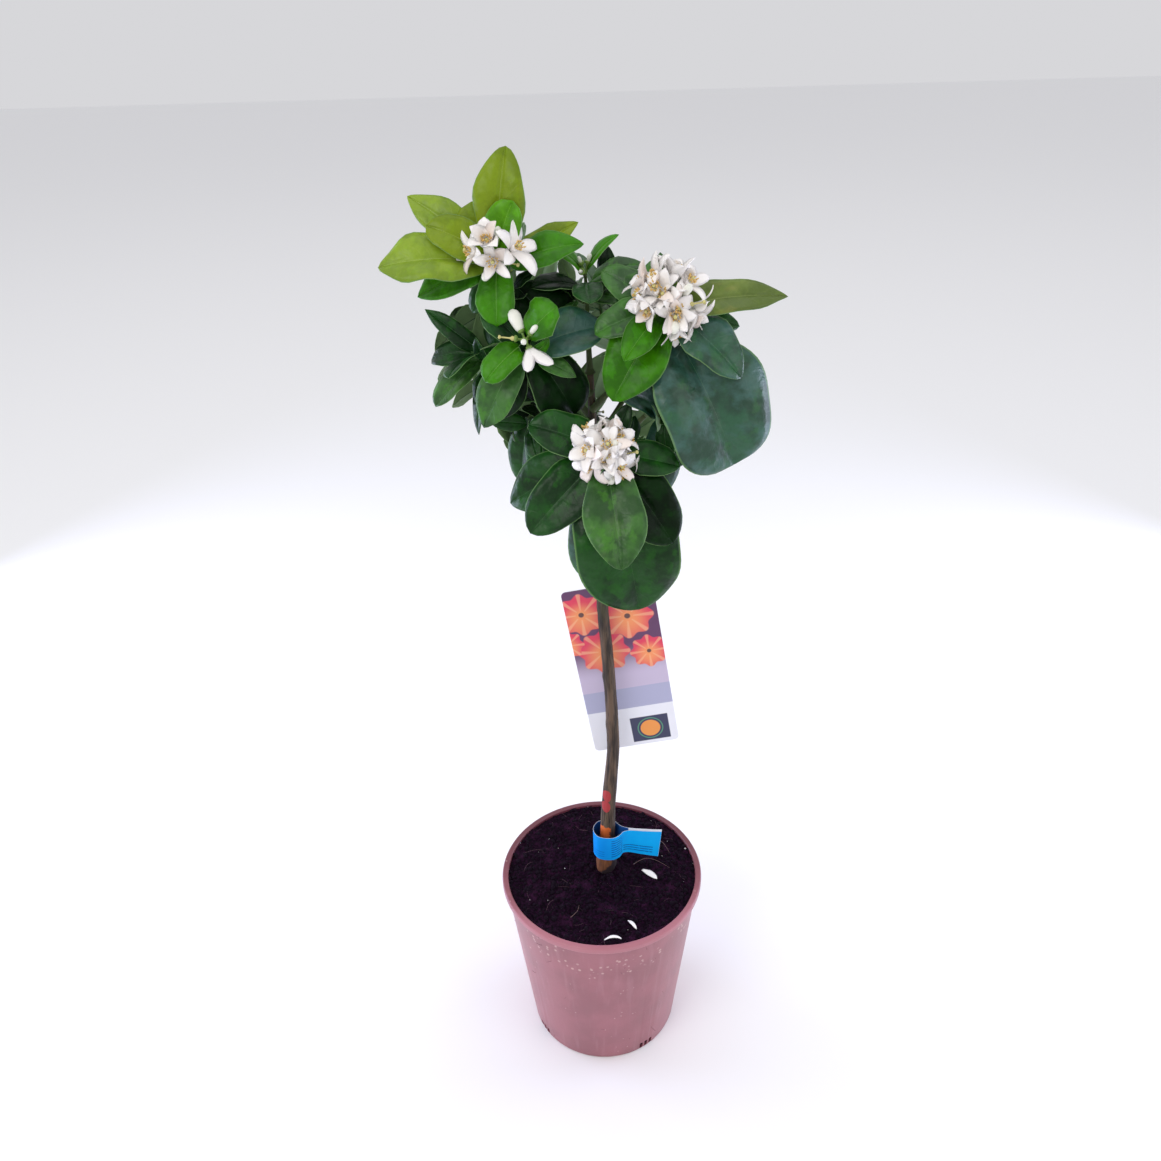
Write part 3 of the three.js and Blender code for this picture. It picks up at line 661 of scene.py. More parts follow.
def pierce(edges, triangles):
    start, run = edges[:, None, 0], (edges[:, 1] - edges[:, 0])[:, None]
    corner = triangles[:, 0]
    ab, ac = triangles[:, 1] - corner, triangles[:, 2] - corner
    p = np.cross(run, ac)
    scale = (ab * p).sum(-1)
    real = np.abs(scale) >= 1e-9
    scale = np.where(real, scale, 1)
    s = start - corner
    u = (s * p).sum(-1) / scale
    q = np.cross(s, ab)
    v = (run * q).sum(-1) / scale
    t = (ac * q).sum(-1) / scale
    return bool((real & (u >= 0) & (u <= 1) & (v >= 0) & (u + v <= 1) & (t >= 0) & (t <= 1)).any())


def touch(one, other):
    if (one[2] > other[3]).any() or (one[3] < other[2]).any():
        return False
    return pierce(one[0], other[1]) or pierce(other[0], one[1])


def frameAt(path, t):
    along = unit(path(min(1, t + 0.02)) - path(t - 0.02))
    side = unit(np.cross(up, along))
    return along, side, np.cross(along, side)


def tipped(axes, turn, lean):
    # the way that leans off a frame's first axis, towards a clock angle round it
    along, side, over = axes
    return along * math.cos(lean) + math.sin(lean) * (side * math.cos(turn) + over * math.sin(turn))


def bladesOf(shoot, path, random):
    shown, lengths = shoot.get("shown", []), shoot.get("leaves", ())
    leaves = [{"turn": turn, "lean": lean, "length": length, "width": width, "shown": True}
              for turn, lean, length, width in shown]
    for i, length in enumerate(lengths):
        turn = shoot["roll"] + leaf["turn"] * i + leaf["turnJitter"] * (2 * random() - 1)
        lean = mix(leaf["lowLean"], leaf["tipLean"], i / len(lengths))
        lean += leaf["leanJitter"] * (2 * random() - 1)
        width = length * shoot["wide"] * vary(*leaf["broad"], random)
        leaves.append({"turn": turn, "lean": lean, "length": length, "width": width, "shown": False})
    for i, blade in enumerate(leaves):
        t = mix(leaf["shownFoot"] if shown else leaf["foot"], leaf["head"], i / (len(leaves) - 1))
        blade["frame"] = frameAt(path, leaf["seenFrom"] if blade["shown"] else t)
        blade["root"], blade["base"] = path(t), path(1 if blade["shown"] else t)
        blade["droop"] = math.radians(mix(*leaf["droop"], random()))
        blade["tint"] = shoot["tints"][i]
    return leaves


def posed(blade, turnBy, liftBy, shrink):
    turn, lean = math.radians(blade["turn"] + turnBy), math.radians(blade["lean"] + liftBy)
    way = tipped(blade["frame"], turn, lean)
    run = blade["base"] + way * blade["length"] * shrink * (1 + leaf["petiole"]) - blade["root"]
    way = unit(run)
    look = blade["frame"][0] + up * leaf["lift"]
    face = unit(look - way * np.dot(look, way))
    half = blade["droop"] / 2
    raised = way * math.cos(half) + face * math.sin(half)
    return {**blade, "way": raised, "face": face * math.cos(half) - way * math.sin(half),
            "length": np.linalg.norm(run) / (1 + leaf["petiole"]), "width": blade["width"] * shrink}


nudges = [
    (0, 0, 1), (6, 6, 1), (-6, 6, 1), (6, -8, 1), (-6, -8, 1), (0, 14, 0.95), (0, -18, 0.95), (14, 4, 0.92),
    (-14, 4, 0.92), (24, -10, 0.86), (-24, -10, 0.86), (0, -30, 0.8), (0, 24, 0.8),
]


def trussOf(shoot):
    aim = unit(array(shoot["aim"]))
    middle = array(shoot["tip"]) + aim * truss["ahead"]
    return aim, middle, truss["base"] + truss["perFlower"] * shoot["flowers"]


def trussGuard(shoot):
    _, middle, reach = trussOf(shoot)
    angle = math.pi * np.arange(6)[:, None] / 3
    flat = [np.concatenate([math.sqrt(1 - h * h) * np.cos(angle), math.sqrt(1 - h * h) * np.sin(angle),
                            np.full_like(angle, h)], 1) for h in (-0.95, -0.4, 0.4, 0.95)]
    return guardOf(middle + reach * np.array(flat))


class Crown:
    # every mass with its twigs and the leaves that find room

    def __init__(self):
        self.limbs = [guardOf(circles(trunkRings(trunk["steps"]), trunk["sides"], leaf["guard"]))]
        for mass in masses:
            rings = limbRings(boughPath(mass), boughRadius, bough["steps"])
            self.limbs.append(guardOf(circles(rings, bough["sides"], leaf["guard"])))
        self.placed, self.blades = [], []
        waiting = []
        for m, mass in enumerate(masses):
            random = dice(leaf["seed"] + leaf["seedStep"] * m)
            for shoot in mass["shoots"]:
                path = shootPath(mass, shoot)
                rings = circles(limbRings(path, twigRadius, twig["steps"]), twig["sides"], leaf["guard"])
                self.placed.append((m, guardOf(rings), None))
                if shoot.get("flowers"):
                    self.placed.append((m, trussGuard(shoot), None))
                waiting += [(m, blade) for blade in bladesOf(shoot, path, random)]
        for shown in (True, False):
            for m, blade in waiting:
                if blade["shown"] is shown:
                    self.settle(m, blade)

    def free(self, m, whole, sheet):
        if any(touch(whole, limb) for limb in self.limbs):
            return False
        return not any((other and touch(sheet, other)) if n == m else touch(whole, guard)
                       for n, guard, other in self.placed)

    def settle(self, m, blade):
        for nudge in nudges:
            tried = posed(blade, *nudge)
            rings = guardRings(tried, leaf["guard"])
            whole, sheet = guardOf(rings), guardOf(rings[2:])
            if self.free(m, whole, sheet):
                self.placed.append((m, whole, sheet))
                self.blades.append(tried)
                return True
        return False


crown = Crown()
print("leaves that found room:", len(crown.blades))

# Finer twigs with small leaves, by the same rule, wherever the shoots still have room.
sprig = {
    "shares": (0.3, 0.45, 0.6, 0.75, 0.9), "length": (9, 20), "turn": 137.5, "turnJitter": 40, "lean": 62,
    "radius": (0.85, 0.55), "sag": 1.2, "seed": 9091, "clear": 0.7,  # none past this share under a truss
    "leaves": 4, "leafLength": (15, 31), "wide": 0.5, "foot": 0.45, "head": 0.98, "leafTurn": 60,
    "leans": (80, 40), "droop": (15, 40), "broad": (0.9, 0.3),
}


def growSprigs():
    random = dice(sprig["seed"])
    paths = []
    for m, mass in enumerate(masses):
        for s, shoot in enumerate(mass["shoots"]):
            path = shootPath(mass, shoot)
            for i, share in enumerate(sprig["shares"]):
                if shoot.get("flowers") and share > sprig["clear"]:
                    continue
                turn = math.radians(sprig["turn"] * (i + 3 * s) + sprig["turnJitter"] * random())
                out = tipped(frameAt(path, share), turn, math.radians(sprig["lean"]))
                start = path(share)
                end = start + out * mix(*sprig["length"], random())
                fine = bow(start, (start + end) / 2 - up * sprig["sag"], end)
                rings = limbRings(fine, lambda t: sprig["radius"][0], 2)[1:]
                rings = circles(rings, twig["sides"], leaf["guard"])
                whole = guardOf(rings)
                if not crown.free(m, whole, whole):
                    continue
                found = 0
                for k in range(sprig["leaves"]):
                    part = k / (sprig["leaves"] - 1)
                    at = mix(sprig["foot"], sprig["head"], part)
                    length = mix(*sprig["leafLength"], random())
                    blade = {
                        "turn": leaf["turn"] * k + sprig["leafTurn"] * random(),
                        "lean": mix(*sprig["leans"], part), "length": length,
                        "width": length * sprig["wide"] * vary(*sprig["broad"], random), "shown": False,
                        "frame": frameAt(fine, at), "root": fine(at), "base": fine(at),
                        "droop": math.radians(mix(*sprig["droop"], random())),
                        "tint": shoot["tints"][(i + k) % len(shoot["tints"])],
                    }
                    found += crown.settle(m, blade)
                if found:
                    crown.placed.append((m, whole, None))
                    paths.append(fine)
    return paths


sprigPaths = growSprigs()
print("leaves with those on finer twigs:", len(crown.blades))


# Leaves

leafTints = {  # each spray's kind: top and midrib colours; how much painted sheen, painted light through the blade and mottling is on it; and its shine
    "y": ("young", (120, 147, 36), (190, 206, 122), 0.1, 0.2, 0.4, 0.3),
    "f": ("fresh", (82, 144, 10), (150, 196, 90), 0.0, 0.3, 0.5, 0.2),
    "e": ("moss", (108, 131, 14), (162, 182, 88), 0.1, 0.2, 0.4, 0.25),
    "o": ("olive", (94, 113, 46), (146, 158, 84), 0.3, 0.15, 0.5, 0.35),
    "b": ("bright", (53, 116, 1), (124, 172, 76), 0.0, 0.4, 0.7, 0.2),
    "m": ("mid", (54, 99, 40), (90, 142, 74), 0.35, 0.55, 0.9, 0.35),
    "d": ("dark", (20, 66, 18), (58, 104, 54), 0.4, 0.6, 1, 0.25),
    # slate: leaf green with a painted sky reflection laid into its colours
    "s": ("slate", (32, 78, 55), (84, 124, 92), 0.9, 0.35, 0.85, 0.5),
    # deep: leaf green darkened as painted shade, for leaves that sit in the crown's shadow
    "n": ("deep", (5, 34, 4), (36, 70, 34), 0.15, 0.6, 1, 0.12),
}
leafFinish = {
    "under": (112, 140, 92), "margin": (116, 156, 92), "roughness": 0.34, "veins": 8, "seed": 4242,
    "spacing": 4.0, "least": 9, "most": 26, "half": 0.24, "ribWidth": 0.9, "ribRise": 0.2,
    "columns": (-1, -0.74, -0.42, -0.12, 0, 0.12, 0.42, 0.74, 1), "fewColumns": (-1, -0.5, 0, 0.5, 1),
    "small": 36, "arch": (0.05, 0.12), "wave": (0.03, 0.12), "twist": 18, "uneven": 0.055,
    "widest": (0.46, 0.62), "blunt": (0.42, 0.78),
}
leafLayers = {  # noise of each layer of colour: cycles a metre, detail, and the values it fades between
    "patches": (48, 3, 0.4, 0.6), "paintedGlow": (75, 4, 0.54, 0.64), "flecks": (330, 3, 0.5, 0.72),
    "veinGaps": (110, 1, 0.4, 0.6),
}
leafShades = {  # what each layer multiplies the blade's red, green and blue by; two layers are painted light: a sheen that stands for the sky's reflection, and yellow-green patches of light shining through the blade
    "hollow": (0.42, 0.5, 0.5), "plain": (1.25, 1.22, 1.1), "paintedGlow": (1.5, 1.75, 0.55),
    "paintedSheen": (2.6, 1.5, 2.4), "fleck": (0.45, 0.55, 0.5), "vein": (2.0, 1.6, 1.8),
}


def leafTop(name, colour, sheen, glow, mottle, shine):
    shop = Shop(name)
    tones = {kind: shade(colour, *factors) for kind, factors in leafShades.items()}

    def layer(kind, vector=None):
        scale, detail, low, high = leafLayers[kind]
        return shop.between(shop.grain(scale, detail, vector), low, high)
    along, across = shop.strip()
    off = abs(across - 0.5) * 2
    slant = along * leafFinish["veins"] - off * 1.5 + shop.grain(60, 2) * 1.6
    vein = 1 - shop.between(abs(shop.fraction(slant) - 0.5), 0, 0.12)
    vein = vein * layer("veinGaps")
    # painted light: yellow-green patches where light would shine through the blade
    paintedGlow = layer("paintedGlow", shop.stretched(1.3, 0.8, 1))
    # painted sheen: grey-blue patches that stand for the sky's reflection on the gloss
    sheenGrain = shop.grain(48, 5, shop.stretched(0.8, 1.3, 1.1))
    paintedSheen = shop.between(sheenGrain, 0.62 - 0.2 * sheen, 0.74 - 0.14 * sheen)
    patches = layer("patches") * mottle + (1 - mottle)
    base = shop.blend(patches, tones["hollow"], tones["plain"])
    base = shop.blend(paintedGlow * glow, base, tones["paintedGlow"])
    base = shop.blend(paintedSheen * sheen, base, tones["paintedSheen"])
    base = shop.blend(layer("flecks") * 0.3 * mottle, base, tones["fleck"])
    base = shop.blend(vein * 0.1, base, tones["vein"])
    base = shop.blend(shop.between(off, 0.95, 0.99) * 0.6, base, paint(*leafFinish["margin"]))
    rib = 1 - shop.between(off, 0, 0.16)
    height = shop.grain(52, 2) * 2.4 + shop.grain(130, 2) * 0.6 + vein * 0.07 - rib * 0.3
    height = height + shop.grain(900) * 0.05
    rough = leafFinish["roughness"] - 0.12 + shop.grain(50) * 0.3
    return shop.done(base, rough, shop.bump(height, 0.0014, 0.9), Specular_IOR_Level=shine)


def makeLeaves():
    random = dice(leafFinish["seed"])
    under = plainSkin("leafUnder", paint(*leafFinish["under"]), 0.6)
    margin = plainSkin("leafMargin", paint(*leafFinish["margin"]), 0.45)
    stocks = {tint: Stock() for tint in leafTints}
    for blade in crown.blades:
        addLeaf(stocks[blade["tint"]], blade, [random() for _ in range(8)])
    for tint, stock in stocks.items():
        name, top, rib, *looks = leafTints[tint]
        crest = plainSkin(f"{name}Rib", paint(*rib), 0.45)
        skins = [leafTop(f"{name}Leaf", paint(*top), *looks), under, margin, crest]
        stock.build(f"leaves_{name}", skins, "foliage", foliageNodes if tint == "d" else ())


def addLeaf(stock, blade, looks):
    # a blade as one thin shell with top, underside and margin, and its midrib run through it
    turn, wave, phase, puff, shift, curl, tipLook, broad = looks
    width, length = blade["width"], blade["length"]
    look = leafFinish
    across = np.array(look["columns"] if length > look["small"] else look["fewColumns"])
    count = int(np.clip(length / look["spacing"], look["least"], look["most"]))
    share = np.arange(count + 1) / count
    stations = mix(share, 0.5 - 0.5 * np.cos(math.pi * share), 0.6)
    pointed = float(np.clip(1.55 - 1.75 * width / length + 0.4 * (tipLook - 0.5), 0, 1))
    widest, blunt = mix(*look["widest"], broad), mix(*look["blunt"], pointed)
    sheetWay = np.cross(blade["face"], blade["way"])
    tops, unders, spots = [], [], []
    stalk = leaf["stalk"] / 2
    ribs = [[blade["root"] + sheetWay * stalk, blade["root"] + blade["face"] * stalk,
             blade["root"] - sheetWay * stalk, blade["root"] - blade["face"] * stalk]]
    for u in stations:
        centre, face = midrib(blade, u)
        twist = math.radians(look["twist"]) * (turn - 0.5) * u
        side = sheetWay * math.cos(twist) + face * math.sin(twist)
        face = face * math.cos(twist) - sheetWay * math.sin(twist)
        half = width / 2 * outline(min(max(u, 1e-4), 0.9999), widest, blunt)
        half = max(half * (1 - 0.22 * pointed * smooth(0.76, 1, u)), 0.8 if u < 0.5 else 0.12)
        edge = np.abs(across)
        swell = np.sin(2 * math.pi * (1.4 * u + phase) + 2.4 * across + 5 * curl) * smooth(0.05, 0.3, u)
        x = across * half * (0.985 + look["uneven"] * swell * edge)
        arch = np.sin(math.pi * edge) * mix(*look["arch"], puff) * half
        swing = 2 * math.pi * ((1.2 + 1.6 * shift) * u + phase) + (across > 0) * (1 + 4 * curl)
        ruffle = mix(*look["wave"], wave) * half * edge ** 2 * np.sin(swing) * smooth(0.02, 0.3, u)
        rise = half * leaf["fold"] * edge + arch + ruffle
        sheet = centre + side * x[:, None] + face * rise[:, None]
        thick = look["half"] * (1 - 0.45 * edge ** 3)[:, None]
        tops.append(sheet + face * thick)
        unders.append(sheet - face * thick)
        spots.append(np.stack([np.full(len(across), u), across / 2 + 0.5], 1))
        if 0.01 < u < 0.97:
            lean = look["ribWidth"] * (1 - 0.8 * u) / 2
            crest = look["half"] + look["ribRise"] * (1 - 0.75 * u)
            ribs.append([centre + side * lean, centre + face * crest, centre - side * lean,
                         centre - face * crest * 1.3])
    tops, unders, spots = np.array(tops), np.array(unders)[:, ::-1], np.array(spots)
    inner = len(across) - 1
    strips = [0] * inner + [2] + [1] * inner + [2]
    stock.add(np.concatenate([tops, unders], 1), strips, np.concatenate([spots, spots[:, ::-1]], 1))
    stock.add(np.array(ribs), 3)


makeLeaves()


# Twigs

twigLook = {"stem": (3, 10), "shoot": (14, 8), "sprig": (6, 6), "colour": (72, 92, 40)}  # steps and sides


def makeTwigs():
    stock = Stock()

    def limb(kind, path, radiusAt):
        steps, sides = twigLook[kind]
        stock.add(circles(limbRings(path, radiusAt, steps), sides))
    for mass in masses:
        limb("stem", stemPath(mass), lambda t: bough["tipRadius"])
        for shoot in mass["shoots"]:
            limb("shoot", shootPath(mass, shoot), twigRadius)
    for path in sprigPaths:
        limb("sprig", path, lambda t: mix(*sprig["radius"], t))
    skin = plainSkin("greenTwig", paint(*twigLook["colour"]), 0.6, 700, 0.0005, 0.4)
    stock.build("twigs", [skin], "green_bark")


makeTwigs()


# Blossom

bloom = {
    "petal": 19.5, "petalWidth": 9.8, "petalThick": 0.9, "steps": 8, "tube": 7.0, "anthers": 18, "style": 9.5,
    "bud": 13, "seat": 0.42, "tilt": 40, "spread": 98, "denser": 1.75, "seed": 777,
    # degrees off the flower's axis at a petal's foot and at its tip, in a shut and in an open flower
    "foot": (8, 42), "tip": (50, 128), "scatter": 50, "aged": 0.1,
    # least value and span of what varies: a petal's length, width and cup, a filament, a style, how far out
    # in its truss a bloom sits, and the sizes of buds and flowers
    "long": (0.82, 0.28), "broad": (0.8, 0.35), "cup": (0.15, 0.45), "filament": (1.2, 2.6),
    "styles": (0.9, 0.2), "out": (0.75, 0.5), "buds": (0.6, 0.5), "flowers": (0.9, 0.14),
    "kinds": "ffbffffpfbff",  # in turn from the truss's middle outwards
    "spent": ((-0.5, 21), (0.42, 18.5)),  # how far each petal swings aside, and its length
    # heights and radii: a bud as shares of its length, and the cup that holds a flower; a stalk's two radii
    "budShape": ((0, 0.12), (0.15, 0.2), (0.4, 0.25), (0.65, 0.28), (0.85, 0.22), (0.97, 0.1)),
    "calyx": ((-1.2, 0.8), (-0.5, 2.1), (0.8, 2.5), (1.3, 2.1), (0.6, 1.2)),
    "stalk": (0.7, 0.85), "stalkBend": 1.5,
}
# Blooms of a truss that has its own, as clock angle, lean, kind, size and reach, the way that leaves have
# theirs. f is a flower, o the last two petals of a spent one, p a bare pistil and b a bud.
ownBlooms = {
    ("upper_left", 0): [
        (104, 20, "f", 1.15, 13), (12, 46, "f", 1.1, 17), (285, 20, "f", 0.95, 8), (172, 50, "f", 0.85, 13),
        (250, 60, "b", 0.8, 9), (75, 50, "b", 0.7, 14), (340, 60, "p", 0.9, 10),
    ],
    ("left", 0): [
        (112, 96, "b", 1.25, 6), (40, 50, "b", 0.62, 6), (250, 20, "b", 0.55, 6),
        (172, 88, "p", 1, 6), (290, 74, "o", 1, 6), (20, 95, "b", 0.45, 6),
    ],
    ("upper_middle", 0): [(60, 40, "b", 0.5, 6), (140, 30, "b", 0.42, 6), (250, 50, "b", 0.36, 6)],
}


def frameOf(axis):
    helper = np.array([1.0, 0, 0]) if abs(axis[0]) < 0.8 else np.array([0, 1.0, 0])
    side = unit(np.cross(axis, helper))
    return side, np.cross(axis, side)


def leant(axis, lean, angle):
    return unit(tipped((axis, *frameOf(axis)), angle, lean))


def addPetal(stock, base, axis, out, length, width, start, end, cup, slot=0):
    # a strap that leaves the flower's foot at start degrees off its axis and curls back to end degrees
    side = np.cross(axis, out)
    at = base.copy()
    rings = []
    for i in range(bloom["steps"] + 1):
        t = i / bloom["steps"]
        angle = math.radians(mix(start, end, t ** 1.2))
        along = axis * math.cos(angle) + out * math.sin(angle)
        inner = axis * math.sin(angle) - out * math.cos(angle)
        half = width / 2 * mix(0.42, 1, smooth(0, 0.5, t)) * max(0.08, (1 - t ** 4) ** 0.62)
        thick = bloom["petalThick"] / 2 * (1 - 0.55 * t)
        rings.append([at + side * half * x + inner * (cup * half * x * x + thick * lift)
                      for x, lift in ((1, 0), (0.5, 1), (-0.5, 1), (-1, 0), (-0.5, -1), (0.5, -1))])
        at = at + along * length / bloom["steps"]
    stock.add(np.array(rings), slot)


def turned(base, axis, profile, sides):
    # rings round an axis for a profile of height and radius
    side, over = frameOf(axis)
    angle = 2 * math.pi * np.arange(sides)[:, None] / sides
    return np.array([base + axis * height + radius * (side * np.cos(angle) + over * np.sin(angle))
                     for height, radius in profile])


def addSpent(stocks, base, axis):
    # two long petals that hang side by side, their faces to the front
    side, over = frameOf(axis)
    for swing, length in bloom["spent"]:
        way = axis * math.cos(swing) + over * math.sin(swing)
        addPetal(stocks["petals"], base, way, side, length, bloom["petalWidth"] * 0.92, -8, 26, 0.3)


def addFlower(stocks, base, axis, random, size=1.0, petals=5):
    side, over = frameOf(axis)
    openness, roll = random(), 2 * math.pi * random()
    tube = bloom["tube"] * size
    for k in range(petals):
        angle = roll + 2 * math.pi * k / 5 + 0.4 * (random() - 0.5)
        out = side * math.cos(angle) + over * math.sin(angle)
        length = bloom["petal"] * size * vary(*bloom["long"], random)
        width = bloom["petalWidth"] * size * vary(*bloom["broad"], random)
        end = mix(*bloom["tip"], openness) + bloom["scatter"] * (random() - 0.5)
        tone = 1 if random() < bloom["aged"] else 0
        begin = mix(*bloom["foot"], openness) + 12 * random()
        addPetal(stocks["petals"], base + out * 1.4, axis, out, length, width, begin, end,
                 vary(*bloom["cup"], random), tone)
    if petals:
        profile = [(0, 1.2), (tube * 0.5, 1.7), (tube, 2.4), (tube, 1.4), (tube * 0.6, 0.9)]
        stocks["petals"].add(turned(base, axis, profile, 10))
    for k in range(bloom["anthers"] if petals else 0):
        angle = 2 * math.pi * (k + 0.8 * random()) / bloom["anthers"]
        out = side * math.cos(angle) + over * math.sin(angle)
        foot = base + axis * (tube - 0.3) + out * 2.1
        way = unit(axis + out * (0.6 * random() - 0.05))
        reach = vary(*bloom["filament"], random)
        stocks["anthers"].add(turned(foot, way, [(0, 0.18), (reach, 0.18)], 3), 1)
        stocks["anthers"].add(turned(foot + way * reach, way, [(-0.7, 0.25), (0.2, 0.6), (1.5, 0.3)], 4))
    height = bloom["style"] * (vary(*bloom["styles"], random) if petals else 1.15)
    thick = 0.6 if petals else 1.6
    stocks["pistils"].add(turned(base, axis, [
        (0, thick * 0.9), (height * 0.25, thick), (height * 0.4, 0.55), (height - 0.9, 0.55),
        (height - 0.5, 1.2), (height + 0.5, 1.35), (height + 1, 0.6)], 8))


def addBud(stocks, base, axis, size):
    profile = [(height * size, radius * size) for height, radius in bloom["budShape"]]
    stocks["buds"].add(turned(base, axis, profile, 10))


def addStalk(stocks, start, base, axis):
    # the green pedicel, with the little cup that holds the flower
    path = bow(start, (start + base) / 2 - axis * bloom["stalkBend"], base)
    stocks["calyces"].add(circles(limbRings(path, lambda t: mix(*bloom["stalk"], t), 4), 6))
    stocks["calyces"].add(turned(base, axis, bloom["calyx"], 10))


def addBloom(stocks, start, base, axis, kind, size, random):
    addStalk(stocks, start, base, axis)
    if kind == "b":
        addBud(stocks, base, axis, bloom["bud"] * size)
    elif kind == "o":
        addSpent(stocks, base, axis)
    else:
        addFlower(stocks, base, axis, random, size, 5 if kind == "f" else 0)


def addTruss(stocks, mass, number, random):
    shoot = mass["shoots"][number]
    start = array(shoot["tip"])
    own = ownBlooms.get((mass["name"], number))
    if own:
        axes = frameAt(shootPath(mass, shoot), leaf["seenFrom"])
        for turn, lean, kind, size, reach in own:
            axis = tipped(axes, math.radians(turn), math.radians(lean))
            addBloom(stocks, start, start + axis * reach + axes[0] * 2, axis, kind, size, random)
        return
    aim, middle, reach = trussOf(shoot)
    total = round(shoot["flowers"] * bloom["denser"])
    for i in range(total):
        lean = math.acos(1 - (i + 0.4) / total * (1 - math.cos(math.radians(bloom["spread"]))))
        axis = leant(aim, lean, golden * i + 0.5 * random())
        base = middle + axis * reach * bloom["seat"] * vary(*bloom["out"], random)
        axis = leant(axis, math.radians(bloom["tilt"]) * random(), 2 * math.pi * random())
        kind = bloom["kinds"][i % len(bloom["kinds"])]
        size = vary(*bloom["buds" if kind == "b" else "flowers"], random)
        addBloom(stocks, start, base, axis, kind, size, random)


fallen = [  # petals dropped on the soil: place, way, length, width, curl
    ((39, -4, 183.8), (0.72, -0.7), 18, 7, 12), ((22, -64, 183.4), (0.5, -0.85), 14, 3.6, 30),
    ((0, -84.5, 183.2), (0.99, -0.1), 17, 3.4, 46),
]


blossomSkins = {  # the materials of each piece: name, colour, roughness and unevenness
    "petals": [("petalWhite", (249, 245, 242), 0.5, 0.04), ("petalAged", (242, 230, 222), 0.55, 0.06)],
    "anthers": [
        ("antherYellow", (222, 186, 112), 0.7, 0.3), ("filamentWhite", (232, 230, 220), 0.6, 0.05),
    ],
    "pistils": [("pistilCream", (204, 196, 126), 0.5, 0.15)],
    "buds": [("budWhite", (238, 238, 226), 0.45, 0.06)],
    "calyces": [("calyxGreen", (116, 148, 66), 0.5, 0.25)],
}


def makeBlossom():
    stocks = {name: Stock() for name in blossomSkins}
    random = dice(bloom["seed"])
    for mass in masses:
        for number, shoot in enumerate(mass["shoots"]):
            if shoot.get("flowers"):
                addTruss(stocks, mass, number, random)
    for place, way, length, width, curl in fallen:
        out = array((*way, 0))
        addPetal(stocks["petals"], array(place), up, out, length, width, 90 - curl, 90 + curl, 0.3)
    for name, stock in stocks.items():
        made = [plainSkin(label, paint(*colour), rough, 600, 0.0003, contrast)
                for label, colour, rough, contrast in blossomSkins[name]]
        stock.build(name, made, "foliage")


makeBlossom()


# Bark of the trunk and boughs

barkLook = {
    "sides": 40, "steps": 260, "sunk": 0.2, "ridge": 0.34,
    "grain": (0.35, 0.03),  # how fast the relief changes round the stem and up it
    "knotRise": 0.35, "knotReach": (4.5, 28),  # in height, and in degrees round the stem
    "boughSides": 14, "boughSteps": 26, "flare": 1.6, "flareFade": 14,
    # in metres: where the stub's wood ends, the soil that clings to it, the sprayed band and its right end
    "stub": (0.205, 0.211), "crust": (-0.1865, -0.1835), "band": (0.216, 0.2375),
    "bandEnd": (0.0075, 0.0095),
    # centre across, height, half width and half height of the red dabs, in metres
    "dabs": [(0.0062, 0.2735, 0.0038, 0.0066), (0.0052, 0.2615, 0.0040, 0.0062)],
    "colours": {
        "hollow": (34, 26, 20), "ridge": (97, 77, 61), "lichen": (72, 74, 44), "fissure": (27, 20, 17),
        "stubHollow": (60, 32, 20), "stubRidge": (138, 86, 52), "soilDark": (9, 3, 10),
        "soilPale": (44, 26, 34), "sprayDark": (186, 74, 22), "sprayPale": (226, 118, 48),
        "dab": (166, 50, 54), "bough": (74, 84, 46),
    },
    # height, heading round the stem and size of each knot
    "knots": [
        (402, 90, 2.4), (352, 100, 2.0), (330, 10, 3.2), (470, 60, 2.0), (300, 200, 1.6), (520, 300, 1.8),
    ],
}


def makeBark():
    look = barkLook
    stock = Stock()
    rings = []
    angles = 2 * math.pi * np.arange(look["sides"]) / look["sides"]
    for centre, side, over, radius in trunkRings(look["steps"]):
        reach = []
        for angle in angles:
            ring = radius * look["grain"][0]
            spot = Vector((math.cos(angle) * ring, math.sin(angle) * ring, centre[2] * look["grain"][1]))
            ridge = noise.noise(spot * 1.6) + 0.5 * noise.noise(spot * 4.2)
            reach.append(radius - look["sunk"] + look["ridge"] * ridge)
        reach = np.array(reach)
        for height, heading, size in look["knots"]:
            off = (np.degrees(angles) - heading + 180) % 360 - 180
            tall, wide = look["knotReach"]
            bulge = np.exp(-((centre[2] - height) / tall) ** 2 - (off / wide) ** 2)
            reach += size * look["knotRise"] * bulge
        ways = side * np.sin(angles)[:, None] + over * np.cos(angles)[:, None]
        rings.append(centre + reach[:, None] * ways)
    stock.add(np.array(rings))

    def flared(t):
        return boughRadius(t) + look["flare"] * math.exp(-t * look["flareFade"])
    for mass in masses:
        stock.add(circles(limbRings(boughPath(mass), flared, look["boughSteps"]), look["boughSides"]), 1)
    green = plainSkin("boughGreen", paints(look)["bough"], 0.65, 600, 0.0005, 0.4)
    stock.build("bark", [barkSkin(), green], "bark", ["trunk", *boughNodes])


